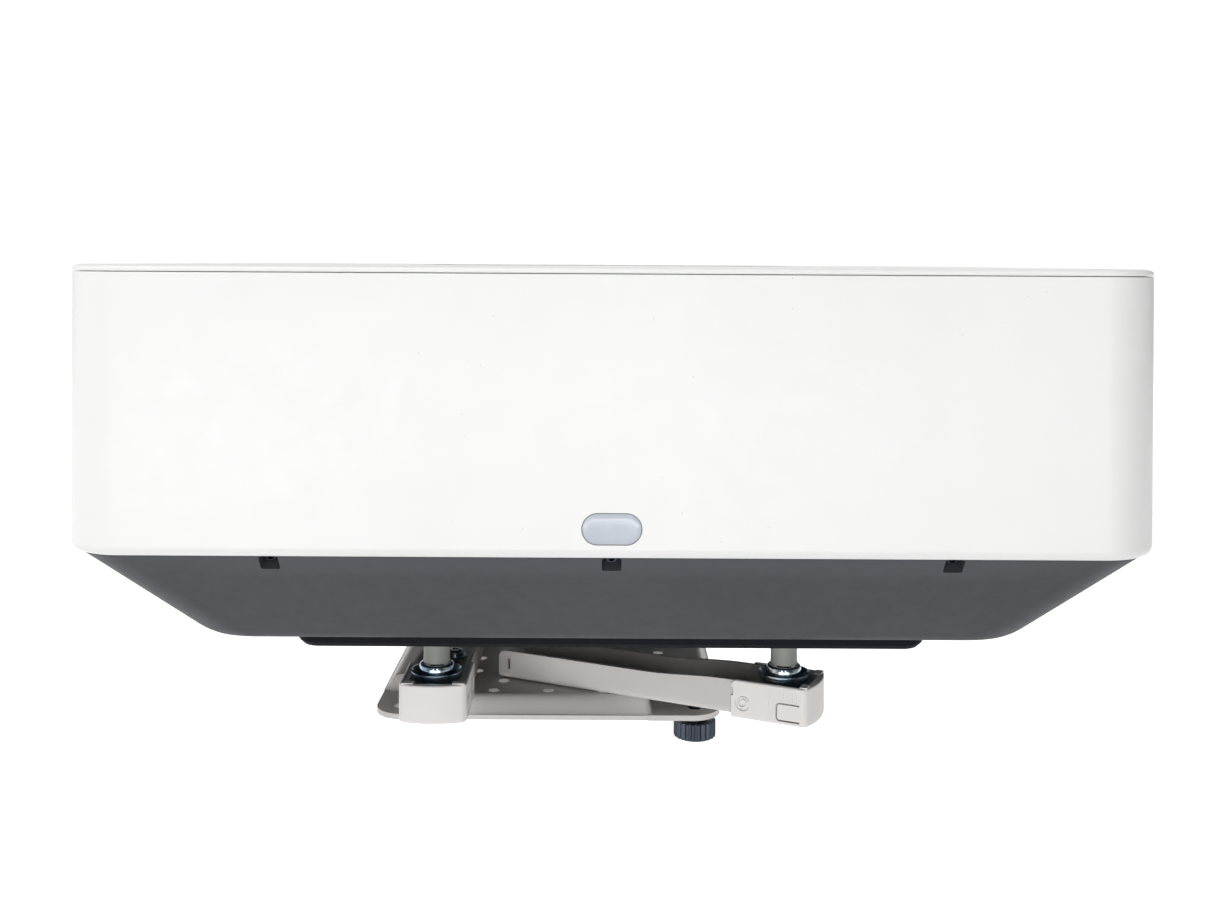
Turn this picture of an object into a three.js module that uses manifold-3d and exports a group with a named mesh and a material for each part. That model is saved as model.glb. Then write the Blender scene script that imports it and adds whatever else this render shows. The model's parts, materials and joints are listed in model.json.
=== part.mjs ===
// Home projector of the ultra-short-throw kind, with the four-armed ceiling adapter bolted under it.
// Millimetres, +Z up. Origin: centre of the adapter plate's flat under-face, where the ceiling
// bracket bears. The plain front face looks along -Y, the beam leaves upwards and back along +Y.
import * as THREE from 'three';
import { ConvexGeometry } from 'three/addons/geometries/ConvexGeometry.js';
import { mergeVertices } from 'three/addons/utils/BufferGeometryUtils.js';
import Module from 'manifold-3d';

const wasm = await Module();
wasm.setup();

// ---------------------------------------------------------------- driving dimensions
const GAP = 0.3;                 // air left between neighbours that touch
const CORNER_STEPS = 4;          // points on a quarter circle of a casing corner

const BODY_X = 29;               // casing centre, sideways from the adapter's centre
const BODY_W = 440;
const BODY_D = 350;
const CORNER_R = 26.5;
const WALL = 2.5;
const PAN_FLOOR_Z = 44.4;        // underside of the tapered pan
const SEAM_Z = 88.3;             // pan meets shell
const LID_Z = 200.05;            // shell meets lid
const TOP_Z = 202.7;
const SHELL_TUCK = 3.2;          // inward roll of the shell's lower edge
const PAN_W = 355.4;             // floor of the pan
const PAN_D = 265.4;
const PAN_R = 27;
const COVER_W = 271;             // flat black bottom cover
const COVER_D = 252;
const COVER_T = 5.4;

const WINDOW_W = 23.3;           // remote receiver window, full-round ends
const WINDOW_H = 12.1;
const WINDOW_Z = SEAM_Z + 11.8;
const SCREW_X = 135.4;           // outer seam screws, from the middle one
const POCKET_W = 7.7;
const POCKET_L = 8;              // along the slope
const POCKET_DEPTH = 5.5;

const DOOR = { y: 0, z: 145, w: 150, h: 66 };        // filter door in the left wall
const EXHAUST = { y: -12.5, z: 145, w: 185, h: 74 }; // grille in the right wall
const REAR = { x: -40, z: 117, w: 220, h: 46 };      // connector bay in the rear wall
const INLET = { x: 134, z: 112, w: 28, h: 20 };      // mains inlet in the rear wall
const BUTTON_R = 5;
const BUTTON_Z = 150;
const POWER_Y = 110;
const SOURCE_Y = 135;
const SPEAKER_Y = -122;
const SPEAKER_SLOTS = 7;

const AXIS_Z = 138;              // optical axis of the projection lens
const WELL = { y: 25, w: 210, d: 170, floorZ: 181.5, floorY: 5, floorW: 160, floorD: 110 };
const GLASS = { y: 4, w: 144, d: 92, z: 172, t: 3 };
const SHUTTER_TRAVEL = 96;       // parked open, this far in front of the glass
const SHUTTER_Z = 178;

const PLATE = 162;               // adapter plate, square
const PLATE_T = 2.5;
const RIM_Z = -7.7;              // lowest edge of the plate's turned-down rim
const EAR = 34;                  // flat corner ear at rim level
const EAR_HOLE_XY = 69;
const POST_X = 78;               // posts, from the casing's centre
const POST_Y = 98;
const POST_R = 6;
const STUD_R = 3;
const ARM_W = 27;
const ARM_T = 2;
const ARM_Z = PLATE_T + GAP;
const ARM_TOP_Z = 16.3;          // wall top along the arm
const ARM_END_TOP_Z = 18.3;      // wall top at the outer end
const ARM_TIP = 13.5;            // channel end beyond the post
const CAP_W = 30;
const CAP_BACK = -20;            // cap's open edge, measured back from the post
const CAP_BOW = 3;
const NUT_TOP_Z = 24.3;
const LONG_ARM = 139;            // post to inner end
const SHORT_ARM = 91;
const LONG_ARM_YAW = 24.7;       // degrees off the casing's width

// ---------------------------------------------------------------- colours and finishes
const finish = (color, roughness, metalness = 0) =>
  new THREE.MeshStandardMaterial({ color, roughness, metalness });
const WHITE = finish(0xfafbf8, 0.38);
const CHARCOAL = finish(0x5c5e62, 0.55);
const BLACK = finish(0x1e2023, 0.5);
const SENSOR = finish(0xcdd2de, 0.2);
const SCREW = finish(0x3c424e, 0.35, 0.9);
const POWDER = finish(0xe6e3e0, 0.5, 0.1);
const CAP_WHITE = finish(0xf7f1ee, 0.42);
const POST_GREY = finish(0x96998f, 0.55, 0.3);
const ZINC = finish(0xa9bac6, 0.2, 1);
const ALUMINIUM = finish(0xb9bcc0, 0.4, 0.9);
const BOARD = finish(0x1f5a3c, 0.5);
const GLASS_TINT = finish(0x2a3440, 0.05);
const MIRROR = finish(0xdfe4ea, 0.03, 1);
const FILTER = finish(0xd9d6cb, 0.9);

// ---------------------------------------------------------------- solids
// A closed three.js geometry as a manifold, turned right side out.
function solid(geometry) {
  const bare = new THREE.BufferGeometry();
  bare.setAttribute('position', geometry.getAttribute('position'));
  bare.setIndex(geometry.index);
  const merged = mergeVertices(bare, 1e-4);
  const position = merged.getAttribute('position').array;
  const index = merged.index.array;
  const triangles = [];
  let volume = 0;
  const [a, b, c] = [new THREE.Vector3(), new THREE.Vector3(), new THREE.Vector3()];
  for (let i = 0; i < index.length; i += 3) {
    const [p, q, r] = [index[i], index[i + 1], index[i + 2]];
    if (p === q || q === r || r === p) continue;
    triangles.push(p, q, r);
    a.fromArray(position, 3 * p);
    b.fromArray(position, 3 * q);
    c.fromArray(position, 3 * r);
    volume += a.dot(b.cross(c));
  }
  if (volume < 0) triangles.reverse();
  return new wasm.Manifold(new wasm.Mesh({
    numProp: 3,
    vertProperties: new Float32Array(position),
    triVerts: new Uint32Array(triangles),
  }));
}

function box([w, d, h], [x, y, z]) {
  return solid(new THREE.BoxGeometry(w, d, h).translate(x, y, z));
}

// Box between two corners.
function span([x0, y0, z0], [x1, y1, z1]) {
  return box([x1 - x0, y1 - y0, z1 - z0], [(x0 + x1) / 2, (y0 + y1) / 2, (z0 + z1) / 2]);
}

function rod(radius, z0, z1, x = 0, y = 0, sides = 16) {
  const shape = new THREE.CylinderGeometry(radius, radius, z1 - z0, sides);
  return solid(shape.rotateX(Math.PI / 2).translate(x, y, (z0 + z1) / 2));
}

// Profile points are [radius, z]; it starts and ends on the axis or closes on itself.
function turned(profile, sides = 20) {
  const points = profile.map(([r, z]) => new THREE.Vector2(r, z));
  return solid(new THREE.LatheGeometry(points, sides).rotateX(Math.PI / 2));
}

function ring(inner, outer, z0, z1, sides = 24) {
  return turned([[inner, z0], [outer, z0], [outer, z1], [inner, z1], [inner, z0]], sides);
}

function roundedRect(w, d, r) {
  const shape = new THREE.Shape();
  const corners = [[1, 1, 0], [-1, 1, 1], [-1, -1, 2], [1, -1, 3]];
  for (const [sx, sy, quarter] of corners) {
    const start = quarter * Math.PI / 2;
    shape.absarc(sx * (w / 2 - r), sy * (d / 2 - r), r, start, start + Math.PI / 2, false);
  }
  return shape;
}

function extruded(shape, z0, z1, steps = 4) {
  const options = { depth: z1 - z0, bevelEnabled: false, curveSegments: steps };
  return solid(new THREE.ExtrudeGeometry(shape, options).translate(0, 0, z0));
}

// Convex loft through rounded rectangles: each level is { w, d, r, z, x, y }.
function lofted(levels) {
  const points = [];
  for (const { w, d, r, z, x = 0, y = 0 } of levels) {
    for (const p of roundedRect(w, d, Math.max(r, 0.5)).getPoints(CORNER_STEPS)) {
      points.push(new THREE.Vector3(p.x + x, p.y + y, z));
    }
  }
  return solid(new ConvexGeometry(points));
}

const casing = (inset, z, radius = CORNER_R) =>
  ({ w: BODY_W - 2 * inset, d: BODY_D - 2 * inset, r: radius - inset, z });

function moved(body, matrix) {
  return body.transform(matrix.toArray());
}

const shifted = (body, x, y, z) => moved(body, new THREE.Matrix4().makeTranslation(x, y, z));
const aboutX = (body, angle) => moved(body, new THREE.Matrix4().makeRotationX(angle));
const aboutY = (body, angle) => moved(body, new THREE.Matrix4().makeRotationY(angle));
const aboutZ = (body, angle) => moved(body, new THREE.Matrix4().makeRotationZ(angle));
const QUARTER = Math.PI / 2;
const join = (...bodies) => bodies.reduce((sum, body) => sum.add(body));
const cut = (body, ...tools) => tools.reduce((rest, tool) => rest.subtract(tool), body);

const group = new THREE.Group();
const projector = new THREE.Group();
projector.position.x = BODY_X;
group.add(projector);

function part(name, body, material, parent = projector) {
  const { vertProperties, triVerts } = body.getMesh();
  const geometry = new THREE.BufferGeometry();
  geometry.setAttribute('position', new THREE.BufferAttribute(vertProperties, 3));
  geometry.setIndex(new THREE.BufferAttribute(triVerts, 1));
  const mesh = new THREE.Mesh(geometry, material);
  mesh.name = name;
  parent.add(mesh);
  return mesh;
}

// ---------------------------------------------------------------- casing
const wallOpening = ({ y, z, w, h }, side, grow = 0) =>
  box([20, w + 2 * grow, h + 2 * grow], [side * BODY_W / 2, y, z]);

const pill = (w, h, y0, y1) =>
  aboutX(extruded(roundedRect(w, h, h / 2 - 0.01), y0, y1, 8), QUARTER);

function upperShell() {
  const top = LID_Z - GAP;
  const outer = lofted([
    casing(SHELL_TUCK, SEAM_Z), casing(1.3, SEAM_Z + 0.9), casing(0.35, SEAM_Z + 2.2),
    casing(0, SEAM_Z + 4), casing(0, top),
  ]);
  const inner = lofted([
    casing(WALL + SHELL_TUCK, SEAM_Z - 1), casing(WALL, SEAM_Z + 4.5), casing(WALL, top + 1),
  ]);
  let shell = cut(outer, inner);
  const sensor = shifted(pill(WINDOW_W + 2 * GAP, WINDOW_H + 2 * GAP, -10, 10), 0, -BODY_D / 2, WINDOW_Z);
  shell = cut(shell, sensor, wallOpening(DOOR, -1, 0.6), wallOpening(EXHAUST, 1, GAP));
  shell = cut(shell, box([REAR.w, 20, REAR.h], [REAR.x, BODY_D / 2, REAR.z]));
  shell = cut(shell, box([INLET.w + 2 * GAP, 20, INLET.h + 2 * GAP], [INLET.x, BODY_D / 2, INLET.z]));
  for (const y of [POWER_Y, SOURCE_Y]) {
    shell = cut(shell, shifted(aboutY(rod(BUTTON_R + GAP, -10, 10), QUARTER), BODY_W / 2, y, BUTTON_Z));
  }
  for (let i = 0; i < SPEAKER_SLOTS; i += 1) {
    const y = SPEAKER_Y + (i - (SPEAKER_SLOTS - 1) / 2) * 6.6;
    shell = cut(shell, box([BODY_W + 20, 2.4, 38], [0, y, 140]));
  }
  return shell;
}

function topLid() {
  const edge = lofted([
    casing(0.2, LID_Z), casing(0, LID_Z + 1.2), casing(1, LID_Z + 2), casing(4.3, TOP_Z),
  ]);
  const lip = cut(lofted([casing(WALL + GAP, LID_Z - 5), casing(WALL + GAP, LID_Z + 1)]),
    lofted([casing(WALL + 2, LID_Z - 6), casing(WALL + 2, LID_Z)]));
  const well = lofted([
    { w: WELL.w + 2 * GAP, d: WELL.d + 2 * GAP, r: 14, y: WELL.y, z: LID_Z - 8 },
    { w: WELL.w + 2 * GAP, d: WELL.d + 2 * GAP, r: 14, y: WELL.y, z: TOP_Z + 1 },
  ]);
  return cut(join(edge, lip), well);
}

// The pan's slope, from the seam down to the floor, on the front and the rear.
const SLOPE_TOP = { inset: SHELL_TUCK + 0.4, z: SEAM_Z - GAP };
const SLOPE_RUN = BODY_D / 2 - SLOPE_TOP.inset - PAN_D / 2;
const SLOPE_FALL = SLOPE_TOP.z - PAN_FLOOR_Z;
const SLOPE_ANGLE = Math.atan2(SLOPE_FALL, SLOPE_RUN);

// Moves a body whose +Z is the slope's outward normal, and whose +Y runs up the slope,
// to the front slope at the given distance below the seam.
function onSlope(body, x, below) {
  const tilted = aboutX(body, Math.PI - SLOPE_ANGLE);
  const y = -(BODY_D / 2 - SLOPE_TOP.inset) + below * Math.cos(SLOPE_ANGLE);
  return shifted(tilted, x, y, SLOPE_TOP.z - below * Math.sin(SLOPE_ANGLE));
}

const POCKET_MIDDLE = POCKET_L / 2 + 0.4;
const seamScrewPlaces = [['left', -SCREW_X], ['centre', 0], ['right', SCREW_X]];

function basePan() {
  const outer = lofted([
    { w: PAN_W, d: PAN_D, r: PAN_R, z: PAN_FLOOR_Z }, casing(SLOPE_TOP.inset, SLOPE_TOP.z),
  ]);
  const slant = WALL / Math.sin(SLOPE_ANGLE);
  const inner = lofted([
    { w: PAN_W - 2 * slant, d: PAN_D - 2 * slant, r: PAN_R - slant, z: PAN_FLOOR_Z + WALL },
    casing(SLOPE_TOP.inset + slant, SLOPE_TOP.z + 1),
  ]);
  let pan = cut(outer, inner);
  const lipOuter = SHELL_TUCK + WALL + 1.2;
  pan = join(pan, cut(
    lofted([casing(lipOuter, SLOPE_TOP.z - 2.5), casing(lipOuter, SLOPE_TOP.z + 5)]),
    lofted([casing(lipOuter + 1.6, SLOPE_TOP.z - 3), casing(lipOuter + 1.6, SLOPE_TOP.z + 6)]),
  ));
  for (const [, x] of seamScrewPlaces) {
    const boss = onSlope(box([13, 10.4, 13], [0, 0, -6.5]), x, 5.6).intersect(outer);
    const pocket = onSlope(box([POCKET_W, POCKET_L, 2 * POCKET_DEPTH], [0, 0, 0]), x, POCKET_MIDDLE);
    const hole = onSlope(rod(1.9, -20, 0, 0, 0, 6), x, POCKET_MIDDLE);
    pan = cut(pan.add(boss), pocket, hole);
  }
  for (const x of [-POST_X, POST_X]) {
    for (const y of [-POST_Y, POST_Y]) {
      pan = cut(pan.add(rod(8, PAN_FLOOR_Z + 1, 61, x, y, 12)), rod(STUD_R + GAP, 40, 70, x, y, 10));
    }
  }
  return pan;
}

function bottomCover() {
  const top = PAN_FLOOR_Z - GAP;
  let cover = lofted([
    { w: COVER_W - 3, d: COVER_D - 3, r: 8.5, z: top - COVER_T },
    { w: COVER_W, d: COVER_D, r: 10, z: top - COVER_T + 2 },
    { w: COVER_W, d: COVER_D, r: 10, z: top },
  ]);
  for (const x of [-POST_X, POST_X]) {
    for (const y of [-POST_Y, POST_Y]) cover = cut(cover, rod(STUD_R + GAP, 30, 50, x, y, 12));
  }
  return cover;
}

function seamScrew() {
  const under = GAP - POCKET_DEPTH;
  const head = turned([[0, under], [3, under], [3, -3.4], [2.4, -2.9], [0, -2.9]], 12);
  const socket = solid(new THREE.CylinderGeometry(1.3, 1.3, 2, 6).rotateX(QUARTER).translate(0, 0, -3));
  return cut(join(head, rod(1.5, -14, -5, 0, 0, 8)), socket);
}

part('upper_shell', upperShell(), WHITE);
part('top_lid', topLid(), WHITE);
part('base_pan', basePan(), CHARCOAL);
part('bottom_cover', bottomCover(), BLACK);
part('remote_window', shifted(pill(WINDOW_W, WINDOW_H, 0, WALL), 0, WALL - BODY_D / 2, WINDOW_Z), SENSOR);
for (const [side, x] of seamScrewPlaces) {
  part(`seam_screw_${side}`, onSlope(seamScrew(), x, POCKET_MIDDLE), SCREW);
}

// ---------------------------------------------------------------- side panels
// A flat louvred panel lying in the wall plane: slots in rows and columns.
function louvred({ y, z, w, h }, side, rows, columns) {
  const outside = side * BODY_W / 2;
  const x = outside - side * WALL / 2;
  let panel = box([WALL, w, h], [x, y, z]);
  const pitchY = (w - 8) / columns;
  const pitchZ = (h - 8) / rows;
  for (let row = 0; row < rows; row += 1) {
    for (let column = 0; column < columns; column += 1) {
      const slotY = y + (column - (columns - 1) / 2) * pitchY;
      const slotZ = z + (row - (rows - 1) / 2) * pitchZ;
      panel = cut(panel, box([10, pitchY - 4, pitchZ * 0.52], [x, slotY, slotZ]));
    }
  }
  return panel;
}

function airFilter() {
  const [xOuter, xInner, pleats] = [-213, -205, 14];
  const pitch = (DOOR.w - 8) / pleats;
  const shape = new THREE.Shape();
  const start = DOOR.y - (DOOR.w - 8) / 2;
  shape.moveTo(xOuter, start);
  for (let i = 0; i < pleats; i += 1) {
    shape.lineTo(xOuter + 5, start + (i + 0.5) * pitch);
    shape.lineTo(xOuter, start + (i + 1) * pitch);
  }
  shape.lineTo(xInner, start + pleats * pitch);
  for (let i = pleats - 1; i >= 0; i -= 1) {
    shape.lineTo(xInner + 5 - 3.5, start + (i + 0.5) * pitch);
    shape.lineTo(xInner, start + i * pitch);
  }
  return extruded(shape, DOOR.z - DOOR.h / 2 + 3, DOOR.z + DOOR.h / 2 - 3);
}

part('filter_door', louvred(DOOR, -1, 7, 2), WHITE);
part('air_filter', airFilter(), FILTER);
part('exhaust_grille', louvred(EXHAUST, 1, 7, 2), CHARCOAL);

// ---------------------------------------------------------------- fans
const FAN = { size: 80, depth: 25, bore: 37.5, hub: 16 };

function fanFrame() {
  let frame = extruded(roundedRect(FAN.size, FAN.size, 5), 0, FAN.depth, 3);
  frame = cut(frame, rod(FAN.bore, -1, FAN.depth + 1, 0, 0, 20));
  const spider = join(rod(FAN.hub, 0, 3), box([FAN.size - 3, 4, 3], [0, 0, 1.5]),
    box([4, FAN.size - 3, 3], [0, 0, 1.5]), rod(3.5, 0, 12, 0, 0, 16));
  return frame.add(spider);
}

function fanRotor() {
  let rotor = cut(rod(FAN.hub, 3.8, 22), rod(4.2, 3, 14, 0, 0, 16));
  const blades = 7;
  for (let i = 0; i < blades; i += 1) {
    const blade = shifted(aboutX(box([21, 1.6, 20], [0, 0, 0]), 0.75), 25.5, 0, 13);
    rotor = rotor.add(aboutZ(blade, i * 2 * Math.PI / blades));
  }
  return rotor;
}

function fan(label, xInner, y, z, outward) {
  const turn = (body) => shifted(aboutY(body, outward * QUARTER), xInner, y, z);
  part(`${label}_fan_frame`, turn(fanFrame()), BLACK);
  part(`${label}_fan_rotor`, turn(fanRotor()), CHARCOAL);
}

fan('intake', -173, 0, 145, -1);
fan('exhaust', 176, -10, 145, 1);

// ---------------------------------------------------------------- rear connectors and boards
const SOCKETS = [
  ['video_socket_1', -138, 16, 7], ['video_socket_2', -112, 16, 7], ['data_socket', -88, 14.5, 7.4],
];
const BOARD_Z = 96;
const BOARD_T = 2;
const SOCKET_Z = BOARD_Z + BOARD_T + GAP;

function rearPanel() {
  const face = [REAR.w - 2 * GAP, REAR.h - 2 * GAP];
  let panel = cut(box([face[0], 7, face[1]], [REAR.x, 171.2, REAR.z]),
    box([face[0] - 3, 7, face[1] - 3], [REAR.x, 173.7, REAR.z]));
  for (const [, x, w, h] of SOCKETS) {
    panel = cut(panel, box([w + 2 * GAP, 30, h + 2 * GAP], [x, 170, SOCKET_Z + h / 2]));
  }
  return cut(panel, shifted(aboutX(rod(4.8, -10, 10), QUARTER), -66, 170, SOCKET_Z + 5));
}

function socketShell(x, w, h) {
  const middle = SOCKET_Z + h / 2;
  const cavity = box([w - 1.8, 11, h - 1.8], [x, 167.5, middle]);
  const tongue = box([w - 5, 8, 0.9], [x, 162, middle + h / 2 - 1.6]);
  return join(cut(box([w, 14, h], [x, 165, middle]), cavity), tongue);
}

function audioSocket() {
  const barrel = aboutX(cut(rod(4.4, -172, -160), rod(1.8, -173, -162, 0, 0, 16)), QUARTER);
  return shifted(barrel, -66, 0, SOCKET_Z + 5);
}

function mainsInlet() {
  const { x, z, w, h } = INLET;
  let inlet = cut(box([w, 24, h], [x, 163.4, z]), box([w - 6, 16, h - 6], [x, 169.5, z]));
  for (const [dx, dz] of [[-7, -2], [0, -3.2], [7, -2]]) {
    inlet = inlet.add(box([2, 12, 4], [x + dx, 166, z + dz]));
  }
  return inlet;
}

function mainBoard() {
  let board = box([320, 80, BOARD_T], [0, 124, BOARD_Z + BOARD_T / 2]);
  const chips = [
    [110, 100, 26, 6], [80, 140, 18, 4], [-80, 96, 30, 3.5], [-130, 100, 16, 5], [130, 140, 22, 3],
  ];
  for (const [x, y, size, height] of chips) {
    board = board.add(span([x - size / 2, y - size / 2, BOARD_Z + 1],
      [x + size / 2, y + size / 2, BOARD_Z + BOARD_T + Math.min(height, 5)]));
  }
  return board;
}

function powerSupply() {
  const tray = cut(span([-150, -122, 66], [-10, -52, 96]), span([-147, -119, 69], [-13, -49, 97]));
  const parts = [[-120, -90, 24, 22], [-88, -90, 18, 26], [-58, -92, 26, 18], [-30, -88, 16, 24]];
  return parts.reduce((sum, [x, y, size, height]) =>
    sum.add(span([x - size / 2, y - size / 2, 68], [x + size / 2, y + size / 2, 68 + height])), tray);
}

part('rear_panel', rearPanel(), BLACK);
for (const [name, x, w, h] of SOCKETS) part(name, socketShell(x, w, h), ALUMINIUM);
part('audio_socket', audioSocket(), BLACK);
part('mains_inlet', mainsInlet(), BLACK);
part('main_board', mainBoard(), BOARD);
part('power_supply', powerSupply(), ALUMINIUM);

// ---------------------------------------------------------------- side keys
const KEY_BOARD_X = 206;

function sideButton() {
  const face = BODY_W / 2 + 0.8;
  return aboutY(turned([
    [0, 212], [3, 212], [3, 213.4], [BUTTON_R + 1.4, 213.4], [BUTTON_R + 1.4, 215], [BUTTON_R, 215],
    [BUTTON_R, face - 0.4], [BUTTON_R - 0.5, face], [0, face],
  ], 16), QUARTER);
}

function keyBoard() {
  const middle = (POWER_Y + SOURCE_Y) / 2;
  const board = box([1.6, 50, 26], [KEY_BOARD_X, middle, BUTTON_Z]);
  return [POWER_Y, SOURCE_Y].reduce((sum, y) =>
    sum.add(box([4.4, 6, 6], [KEY_BOARD_X + 2.2, y, BUTTON_Z])), board);
}

part('power_button', shifted(sideButton(), 0, POWER_Y, BUTTON_Z), CHARCOAL);
part('source_button', shifted(sideButton(), 0, SOURCE_Y, BUTTON_Z), CHARCOAL);
part('key_board', keyBoard(), BOARD);

// ---------------------------------------------------------------- optics
function lensWell() {
  const outerTop = { w: WELL.w, d: WELL.d, r: 14, y: WELL.y, z: TOP_Z - 0.5 };
  const outerFloor = { w: WELL.floorW, d: WELL.floorD, r: 10, y: WELL.floorY, z: WELL.floorZ };
  const inset = ({ w, d, r, ...rest }, by) => ({ w: w - 2 * by, d: d - 2 * by, r: r - by, ...rest });
  const inner = [
    { ...inset(outerFloor, 2.4), z: WELL.floorZ + 2.2 }, { ...inset(outerTop, 2), z: TOP_Z - 0.5 },
    { ...inset(outerTop, 2), z: TOP_Z + 1 },
  ];
  const window = { w: GLASS.w - 12, d: GLASS.d - 12, r: 8, y: GLASS.y };
  return cut(lofted([outerFloor, outerTop]), lofted(inner),
    lofted([{ ...window, z: WELL.floorZ - 1 }, { ...window, z: WELL.floorZ + 5 }]));
}

function lensShutter() {
  const y = GLASS.y - SHUTTER_TRAVEL;
  const plate = lofted([
    { w: GLASS.w, d: GLASS.d, r: 6, y, z: SHUTTER_Z },
    { w: GLASS.w, d: GLASS.d, r: 6, y, z: SHUTTER_Z + 2.2 },
  ]);
  return plate.add(box([40, 1.6, 0.8], [0, y + GLASS.d / 2 - 4, SHUTTER_Z + 2.3]));
}

const alongY = (body) => shifted(aboutX(body, QUARTER), 0, 0, AXIS_Z);   // +Z becomes -Y

function lensBarrel() {
  return alongY(turned([
    [25, -99.6], [34.5, -99.6], [34.5, -94], [29, -94], [29, -62], [27.5, -60], [27.5, -46], [25, -46],
    [25, -99.6],
  ]));
}

function focusRing() {
  let grip = ring(29.6, 33.5, -84, -66);
  const ribs = 8;
  for (let i = 0; i < ribs; i += 1) {
    grip = cut(grip, aboutZ(box([2, 1.8, 12], [33.9, 0, -75]), i * 2 * Math.PI / ribs));
  }
  return alongY(grip.add(box([12, 5, 6], [38, 0, -75])));
}

function frontCell() {
  return alongY(turned([
    [0, -72], [24.4, -72], [24.4, -30], [22.5, -27], [20.5, -27], [20.5, -30],
    [14, -26.2], [7, -24.2], [0, -23.6],
  ], 24));
}

function curvedMirror() {
  const slab = lofted([
    { w: 128, d: 22, r: 3, y: -51, z: 106 }, { w: 150, d: 22, r: 3, y: -51, z: 168 },
  ]);
  const bowl = solid(new THREE.SphereGeometry(170, 28, 18).translate(0, 120, 130));
  return cut(slab, bowl);
}

function mirrorFrame() {
  const back = span([-70, -80, 103.2], [70, -62.4, 170]);
  const relief = span([-60, -82, 112], [60, -66, 162]);
  const foot = span([-58, -80, 103.2], [58, -34, 105.6]);
  return join(cut(back, relief), foot);
}

function opticsBase() {
  const base = span([-60, -84, 99], [60, 156, 102.8]);
  return cut(base, span([-40, -20, 90], [40, 40, 110]), span([-30, 60, 90], [30, 90, 110]));
}

function engineHousing() {
  const block = span([-55, 100, 103.2], [55, 156, 170]);
  const flange = span([-44, 110, 160], [44, 150, 174]);
  const bore = alongY(rod(22, -140, -90));
  const beamPort = aboutY(shifted(rod(9, -60, -40), -AXIS_Z, 128, 0), QUARTER);
  return cut(block.add(flange), bore, beamPort);
}

function laserModule() {
  let laser = span([-185, 60, 104], [-104.6, 142, 150]);
  const fins = 11;
  for (let i = 0; i < fins; i += 1) {
    const x = -181 + i * 7.2;
    laser = laser.add(span([x, 62, 149], [x + 2.2, 140, 166]));
  }
  const beamPort = aboutY(shifted(rod(8, -120, -100), -AXIS_Z, 128, 0), QUARTER);
  return cut(laser, beamPort);
}

// Wheel and motor turn about an X axis above the rear of the optics.
const WHEEL = { x: -83, y: 100, z: AXIS_Z, r: 29 };
const onWheelAxis = (body) => shifted(aboutY(body, QUARTER), WHEEL.x, WHEEL.y, WHEEL.z);

function phosphorWheel() {
  return onWheelAxis(turned([
    [2.4, -3], [8, -3], [8, -0.8], [WHEEL.r, -0.8], [WHEEL.r, 0.8], [10, 0.8], [9, 2], [2.4, 2], [2.4, -3],
  ]));
}

function wheelMotor() {
  return onWheelAxis(turned([
    [0, -20], [14, -20], [14, -18], [12, -18], [12, -5], [10, -4], [2, -4], [2, 3], [0, 3],
  ], 16));
}

function heatSink() {
  let sink = span([86, -12, 104], [164, 82, 109]);
  const fins = 14;
  for (let i = 0; i < fins; i += 1) {
    const y = -11 + i * 7;
    sink = sink.add(span([86, y, 108], [164, y + 1.6, 166]));
  }
  return sink;
}

function speaker(side) {
  const frame = box([26, 54, 54], [side * 202, SPEAKER_Y, 140]);
  const cone = aboutY(turned([[0, -11], [9, -11], [22, 2], [22, 6], [0, 6]], 20), QUARTER);
  return cut(frame, shifted(side > 0 ? cone : aboutZ(cone, Math.PI), side * 211, SPEAKER_Y, 140));
}

part('lens_well', lensWell(), BLACK);
part('lens_shutter', lensShutter(), CHARCOAL);
part('lens_window', lofted([
  { ...GLASS, r: 6, z: GLASS.z }, { ...GLASS, r: 6, z: GLASS.z + GLASS.t },
]), GLASS_TINT);
part('lens_barrel', lensBarrel(), BLACK);
part('focus_ring', focusRing(), CHARCOAL);
part('lens_front_cell', frontCell(), GLASS_TINT);
part('curved_mirror', curvedMirror(), MIRROR);
part('mirror_frame', mirrorFrame(), BLACK);
part('optics_base', opticsBase(), ALUMINIUM);
part('engine_housing', engineHousing(), ALUMINIUM);
part('laser_module', laserModule(), ALUMINIUM);
part('phosphor_wheel', phosphorWheel(), FILTER);
part('wheel_motor', wheelMotor(), BLACK);
part('heat_sink', heatSink(), ALUMINIUM);
part('speaker_left', speaker(-1), BLACK);
part('speaker_right', speaker(1), BLACK);

// ---------------------------------------------------------------- ceiling adapter
const PLATE_HOLES = [[36, 20.5], [36, 41], [22, 56], [25.6, 70], [0, 70], [54, 10]];

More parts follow.
